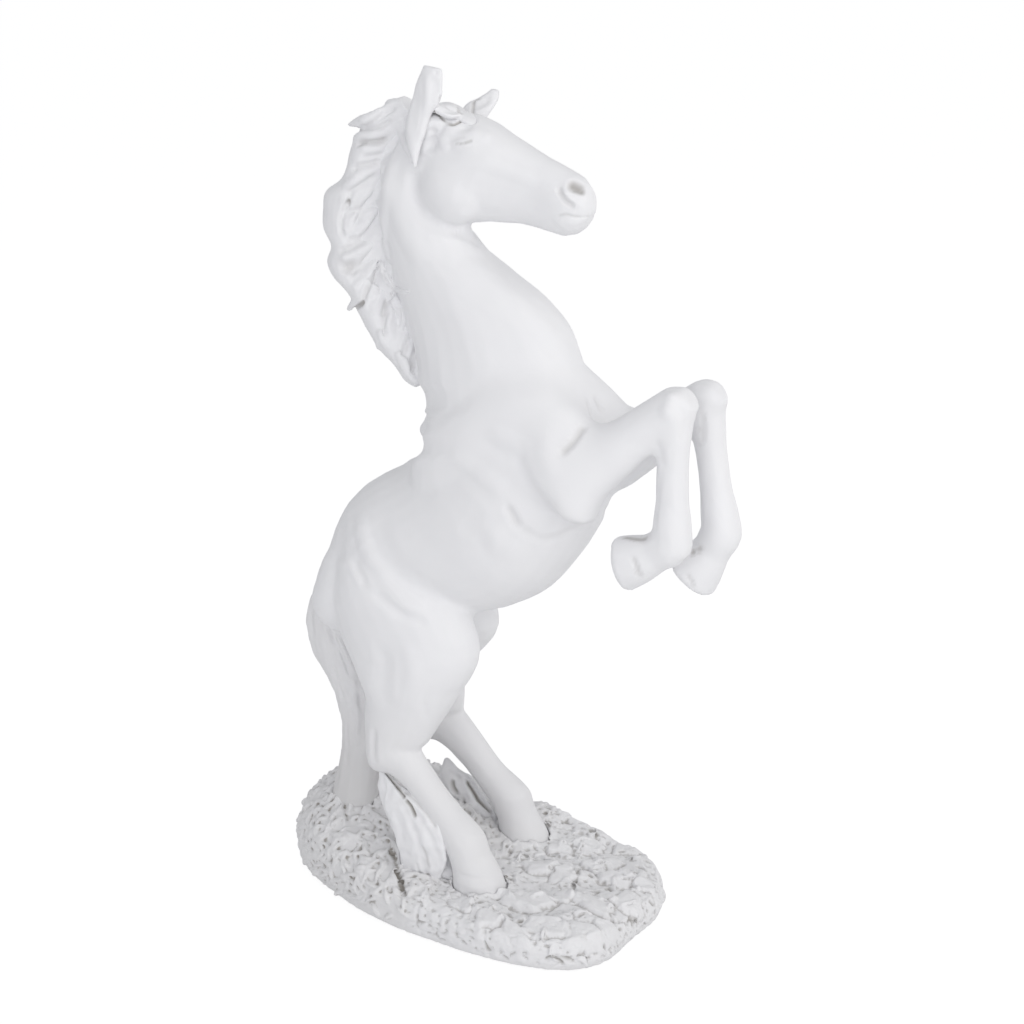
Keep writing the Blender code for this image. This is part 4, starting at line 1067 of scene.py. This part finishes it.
# Deep cuts and pits between stones and tufts, in pixels: line, width, depth and how much shade is painted
# into each.
GROUND_CUTS = [
    ([(391, 850), (397, 868), (401, 882), (403, 896)], 1.6, -2.2, 0.6),
    ([(386, 838), (390, 848)], 1.3, -1.4, 0.6),
    ([(548, 865), (555, 872)], 1.2, -1.2, 0.8),
    ([(504, 877), (511, 878)], 1.3, -1.6, 1.0),
    ([(600, 885), (607, 882)], 1.0, -1.0, 0.7),
    ([(620, 852), (624, 851)], 1.0, -1.0, 0.7),
    ([(577, 917), (583, 913)], 1.1, -1.0, 0.6),
    ([(548, 912), (555, 905)], 1.0, -0.9, 0.5),
    ([(506, 914), (514, 918)], 1.0, -0.9, 0.6),
    ([(527, 930), (536, 934)], 1.0, -0.9, 0.5),
    ([(549, 826), (546, 818)], 1.2, -1.2, 0.6),
    ([(508, 858), (512, 848)], 1.3, -1.3, 0.7),
    ([(636, 917), (633, 925)], 1.0, -0.8, 0.4),
    ([(360, 786), (370, 788)], 1.6, -1.4, 0.8),
]


def noise_at(places, size, seed):
    shift = Vector((seed * 3.1, seed * 1.7, seed * 2.3))
    return np.array([noise.noise(Vector(place) / size + shift) for place in places])


def worn_stone(wax, middle, half_length, half_width, turn, chance):
    """A flat stone with a blunt, uneven outline and a worn top, set in a shallow crevice. Returns the
    points of the skin that lie on it."""
    spin = math.radians(turn)
    flat = wax.co[:, :2] - np.array([middle.x, middle.y])
    near = np.nonzero((np.hypot(flat[:, 0], flat[:, 1]) < half_length * 1.6 * MM)
                      & (wax.normal[:, 2] > 0.15))[0]
    along = (flat[near, 0] * math.cos(spin) + flat[near, 1] * math.sin(spin)) / (half_length * MM)
    across = (flat[near, 1] * math.cos(spin) - flat[near, 0] * math.sin(spin)) / (half_width * MM)
    angle = np.arctan2(across, along)
    uneven = 1 + 0.12 * np.sin(3 * angle + chance.uniform(0, 6))
    uneven += 0.08 * np.sin(5 * angle + chance.uniform(0, 6))
    reach = (np.abs(along) ** 2.8 + np.abs(across) ** 2.8) ** (1 / 2.8) / uneven
    tilt = 1 + 0.45 * along * chance.uniform(-1, 1) + 0.45 * across * chance.uniform(-1, 1)
    rise = 1.1 * tilt * fade_out(reach, 0.82, 1.08) - 0.4 * np.exp(-((reach - 1.12) / 0.08) ** 2)
    wax.co[near, 2] += rise * MM
    return near[reach < 1.08]


def grass_blade(bm, core, start, turn, bend, length, half_width):
    """A curled blade that lies on the ground or hangs down its side, and stands out at its middle."""
    line, here, way = [], Vector(start), Vector((math.cos(turn), math.sin(turn), 0))
    steps = 7
    for step in range(steps + 1):
        point, out = core.tree.find_nearest(here)[:2]
        t = step / steps
        line.append(point + out * half_width * (0.1 + 0.9 * math.sin(math.pi * t)))
        way = Matrix.Rotation(bend / steps, 3, out) @ (way - out * way.dot(out)).normalized()
        here = point + way * (length / steps)
    lock_of_hair(bm, line, half_width, half_width * 0.95, UP, ridges=1, ridge=0.0, segments=8)


def packed_earth(wax, share):
    """Flat bits of stone pressed together, 9 mm across, with pits where some corners meet and shade painted
    into the pits.
    """
    rounds = np.empty(len(wax.co))
    for number, place in enumerate(wax.co):
        spot = Vector((place[0] / (9.5 * MM), place[1] / (6.5 * MM), place[2] / (6.5 * MM)))
        gaps = noise.voronoi(spot + Vector((0.3, 0.1, 0.7)))[0]
        rounds[number] = gaps[1] - gaps[0]
    crevice = 1 - smooth_step(rounds, 0.0, 0.17)
    crevice *= smooth_step(noise_at(wax.co, 4.5 * MM, 27.0), -0.25, 0.10)
    pits = crevice * smooth_step(noise_at(wax.co, 3.2 * MM, 21.0), 0.10, 0.32)
    level = 0.55 * noise_at(wax.co, 7.0 * MM, 24.0) + 0.35 * noise_at(wax.co, 2.4 * MM, 22.0)
    flakes = noise_at(wax.co * np.array([0.6, 1.0, 1.0]), 1.3 * MM, 29.0)
    lift = -0.5 * crevice - 1.1 * pits + level - 0.8 * smooth_step(flakes, 0.22, 0.45)
    wax.co += wax.normal * (lift * share * MM)[:, None]
    # Painted shade in the pits.
    wax.painted_shade = np.maximum(wax.painted_shade, pits * share)


def paint_shade_in_hollows(wax, passes, depth, strength):
    """Paints shade where the skin lies deeper than what is round it."""
    even = wax.co
    for _ in range(passes):
        even = wax.neighbours_middle(even)
    deep = np.einsum("ij,ij->i", even - wax.co, wax.normal)
    wax.painted_shade = np.maximum(wax.painted_shade, strength * smooth_step(deep, 0.25 * depth, depth))


def bed_in(wax, names, reach, rise):
    """Draws the ground up unevenly round what stands in it."""
    tree = tree_of(names)
    for number in np.nonzero(wax.normal[:, 2] > -0.2)[0]:
        place = Vector(wax.co[number])
        gap = tree.find_nearest(place, reach)[3]
        if gap is None:
            continue
        near = 1 - gap / reach
        uneven = 0.55 + 0.9 * noise.noise(place / (2.2 * MM))
        wax.co[number, 2] += rise * near * near * max(uneven, 0.1)
    wax.store()


def thin_out_underside(obj, level):
    """Dissolves the flat underside, where the ground lies on the felt, into one face, and cuts that into
    large triangles.
    """
    bm = bmesh.new()
    bm.from_mesh(obj.data)
    flat = [face for face in bm.faces if all(vert.co.z < level for vert in face.verts)]
    bmesh.ops.dissolve_faces(bm, faces=flat)
    split_large_faces(bm)
    bm.to_mesh(obj.data)
    bm.free()


def is_grassy(place):
    return place.x - 0.25 * place.y < 13 * MM


def carve_ground():
    chance = random.Random(42)
    low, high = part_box("ground_base")
    core = Wax(melt(object_of("ground_core", copied_solids(["ground_base"])), 1.2 * MM))
    bm = copied_solids(["ground_base"])
    blades = 0
    while blades < GRASS_BLADES:
        spot = Vector((chance.uniform(low.x, high.x), chance.uniform(low.y, high.y),
                       chance.uniform(low.z + 2 * MM, high.z)))
        spot = core.nearest(spot)
        if spot.z < low.z + 2.5 * MM:
            continue
        if not is_grassy(spot) and chance.random() > BLADES_AMONG_STONES:
            continue
        grass_blade(bm, core, spot, chance.uniform(0, 2 * math.pi), chance.uniform(-2.4, 2.4),
                    chance.uniform(4.5, 9) * MM, chance.uniform(0.55, 0.85) * MM)
        blades += 1
    for vert in bm.verts:
        vert.co.z = max(vert.co.z, low.z)
    bpy.data.objects.remove(core.obj)
    obj = keep_largest(melt(object_of("ground_carved", bm), GROUND_GRAIN))
    thin_out_underside(obj, low.z + 0.45 * GROUND_GRAIN)
    wax = Wax(obj)
    wax.relax(2, where=(wax.co[:, 2] > low.z + 1.2 * MM).astype(float))
    bed_in(wax, ["left_hind_leg", "right_hind_leg"], 3.5 * MM, 1.6 * MM)
    bed_in(wax, ["tail", "left_grass_tuft", "right_grass_tuft"], 4.5 * MM, 2.2 * MM)
    on_stone = np.zeros(len(wax.co), bool)
    middles = [wax.under(px, py) for px, py, *_ in STONES]
    for middle, (_, _, half_length, half_width, turn) in zip(middles, STONES):
        on_stone[worn_stone(wax, middle, half_length, half_width, turn, chance)] = True
    wax.store()
    standing = smooth_step(wax.co[:, 2], low.z + 0.3 * MM, low.z + 2.2 * MM)
    earthy = smooth_step(wax.co[:, 0] - 0.25 * wax.co[:, 1], 6 * MM, 16 * MM) * standing
    packed_earth(wax, earthy * np.where(on_stone, 0.22, 0.75))
    wax.store()
    wax.seen_strokes(GROUND_CUTS, both=False)
    wax.texture(2.2 * MM, 0.22 * MM, 1.0)
    wax.store()
    # Painted shade in the ground's hollows, and a little all over it, more among the grass than among the
    # stones.
    paint_shade_in_hollows(wax, 12, 0.45 * MM, 0.95 - 0.45 * earthy)
    wax.painted_shade = np.maximum(wax.painted_shade, 0.18 - 0.09 * earthy)
    wax.co[:, 2] = np.maximum(wax.co[:, 2], low.z)
    return wax.finish()


def matt_white_resin():
    """Polyester resin, cast, then sprayed with matt white. The paint is an even soft white with hardly any
    shine, and shade is painted into it as a warm grey in crevices, hollows and lower parts."""
    material, tree = empty_material("polyester_resin_sprayed_matt_white")
    place = node(tree, "TexCoord").outputs["Object"]
    # The share of painted shade that each skin carries.
    painted_shade = node(tree, "Attribute", {"attribute_name": "painted_shade"}).outputs["Fac"]
    # Slow clouding of the sprayed coat, 18 mm across.
    cloud = node(tree, "TexNoise", Vector=place, Scale=1 / (18 * MM), Detail=2.0, Roughness=0.5)
    coat = node(tree, "Mix", {"data_type": "RGBA"}, Factor=cloud.outputs["Fac"],
                _6=linear("F1F1F2"), _7=linear("ECECEE"))
    # Painted shade: the coat turns warm grey as far as that share says.
    shaded_coat = node(tree, "Mix", {"data_type": "RGBA"}, Factor=painted_shade, _6=coat.outputs[2], _7=linear("8F8A83"))
    # Spray grain, 0.35 mm, and brush-soft unevenness, 3 mm.
    grain = node(tree, "TexNoise", Vector=place, Scale=1 / (0.35 * MM), Detail=3.0, Roughness=0.6)
    swell = node(tree, "TexNoise", Vector=place, Scale=1 / (3 * MM), Detail=2.0, Roughness=0.5)
    fine = node(tree, "Bump", Height=grain.outputs["Fac"], Distance=0.02 * MM, Strength=0.5)
    soft = node(tree, "Bump", Height=swell.outputs["Fac"], Distance=0.08 * MM, Strength=0.4,
                Normal=fine.outputs["Normal"])
    shader = node(tree, "BsdfPrincipled", Base_Color=shaded_coat.outputs[2], Roughness=0.62, IOR=1.5,
                  Normal=soft.outputs["Normal"])
    node(tree, "OutputMaterial", Surface=shader.outputs[0])
    return material


def needled_felt():
    """Self-adhesive polyester felt, needled: grey-white, with no shine and a tangle of fibres."""
    material, tree = empty_material("polyester_felt_needled")
    place = node(tree, "TexCoord").outputs["Object"]
    # Fibre tangles, 0.6 mm apart.
    tangle = node(tree, "TexNoise", Vector=place, Scale=1 / (0.6 * MM), Detail=4.0, Roughness=0.7)
    colour = node(tree, "Mix", {"data_type": "RGBA"}, Factor=tangle.outputs["Fac"],
                  _6=linear("C4C4C2"), _7=linear("D9D9D7"))
    pile = node(tree, "Bump", Height=tangle.outputs["Fac"], Distance=0.25 * MM, Strength=0.8)
    shader = node(tree, "BsdfPrincipled", Base_Color=colour.outputs[2], Roughness=0.95,
                  Sheen_Weight=0.3, Sheen_Roughness=0.5, Normal=pile.outputs["Normal"])
    node(tree, "OutputMaterial", Surface=shader.outputs[0])
    return material


def drawn_steel():
    """Mild steel wire and pins, drawn: grey, with fine lines along the draw."""
    material, tree = empty_material("mild_steel_drawn")
    place = node(tree, "TexCoord").outputs["Object"]
    # Draw marks, 0.2 mm apart across the wire and 5 mm long.
    stretched = node(tree, "Mapping", Vector=place, Scale=(1.0, 1.0, 0.04))
    marks = node(tree, "TexNoise", Vector=stretched.outputs[0], Scale=1 / (0.2 * MM), Detail=2.0)
    scratch = node(tree, "Bump", Height=marks.outputs["Fac"], Distance=0.01 * MM, Strength=0.4)
    shader = node(tree, "BsdfPrincipled", Base_Color=linear("A6A8AB"), Metallic=1.0, Roughness=0.35,
                  Normal=scratch.outputs["Normal"])
    node(tree, "OutputMaterial", Surface=shader.outputs[0])
    return material


def wear(obj, material):
    obj.data.materials.clear()
    obj.data.materials.append(material)


def seen_rays(tree):
    """1 for the rays that show the stage, also mirrored or through glass, and 0 for those that bring
    its light to the ornament."""
    rays = node(tree, "LightPath").outputs
    shown = node(tree, "Math", {"operation": "MAXIMUM"}, _0=rays["Is Camera Ray"], _1=rays["Is Glossy Ray"])
    return node(tree, "Math", {"operation": "MAXIMUM"},
                _0=shown.outputs[0], _1=rays["Is Transmission Ray"]).outputs[0]


def lay_stage():
    """A white table that keeps the ornament's shadow, and a white surround."""
    bm = bmesh.new()
    bmesh.ops.create_grid(bm, x_segments=2, y_segments=2, size=40.0)
    floor = object_of("table", bm)
    material, tree = empty_material("painted_board_white")
    board = node(tree, "BsdfDiffuse", Color=linear("7C7C7D"))
    glow = node(tree, "Emission", Color=linear("FFFFFF"), Strength=0.90)
    both = node(tree, "AddShader", _0=board.outputs[0], _1=glow.outputs[0])
    plain = node(tree, "BsdfDiffuse", Color=linear("F5F5F5"))
    mixed = node(tree, "MixShader", _0=seen_rays(tree), _1=plain.outputs[0], _2=both.outputs[0])
    node(tree, "OutputMaterial", Surface=mixed.outputs[0])
    wear(floor, material)

    world = bpy.data.worlds.new("white_surround")
    world.use_nodes = True
    tree = world.node_tree
    tree.nodes.clear()
    light = node(tree, "Background", Color=linear("FBFCFF"), Strength=0.51)
    white = node(tree, "Background", Color=linear("FFFFFF"), Strength=1.0)
    mixed = node(tree, "MixShader", _0=seen_rays(tree), _1=light.outputs[0], _2=white.outputs[0])
    node(tree, "OutputWorld", Surface=mixed.outputs[0])
    bpy.context.scene.world = world


def hang_lamp(name, turn, rise, away, size, power, colour):
    """A square soft lamp that looks at the middle of the ornament."""
    data = bpy.data.lights.new(name, "AREA")
    data.shape = "SQUARE"
    data.size = size
    data.energy = power
    data.color = linear(colour)[:3]
    lamp = bpy.data.objects.new(name, data)
    bpy.context.scene.collection.objects.link(lamp)
    flat, height = math.radians(turn), math.radians(rise)
    way = Vector((math.sin(flat) * math.cos(height), -math.cos(flat) * math.cos(height), math.sin(height)))
    lamp.location = Vector((0, 0, 150)) * MM + way * away
    lamp.rotation_mode = "QUATERNION"
    lamp.rotation_quaternion = (-way).to_track_quat("-Z", "Y")


def dress():
    resin, felt, steel = matt_white_resin(), needled_felt(), drawn_steel()
    figure = carve_figure()
    lying = [figure.seen_line(pixels) for pixels, _ in LYING_LOCKS]
    pieces = [(piece, name) for name, piece in split_figure(figure).items()]
    pieces.append((carve_mane(lying), "mane"))
    pieces.append((carve_forelock(), "forelock"))
    pieces.append((carve_tail(), "tail"))
    pieces.append((carve_ground(), "ground_base"))
    for side in ("left", "right"):
        pieces.append((carve_ear(side), side + "_ear"))
        pieces.append((carve_tuft(side), side + "_grass_tuft"))
    for piece, name in pieces:
        wear(piece, resin)
        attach(piece, "root")
        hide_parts(name)
    wear(nodes["base_felt"], felt)
    for name in ("left_foreleg_dowel", "right_foreleg_dowel", "left_leg_wire", "right_leg_wire", "tail_pin"):
        wear(nodes[name], steel)


dress()
lay_stage()
hang_lamp("large_soft_front_right", 71, 32, 1.0, 0.95, 3.35, "FFFDFA")
hang_lamp("soft_fill_by_the_camera", 14, 4, 1.5, 1.4, 8.3, "FCFCFF")
hang_lamp("soft_low_from_the_left", 150, 5, 1.1, 0.7, 1.6, "FCFCFF")
bpy.context.scene.view_settings.view_transform = "Standard"
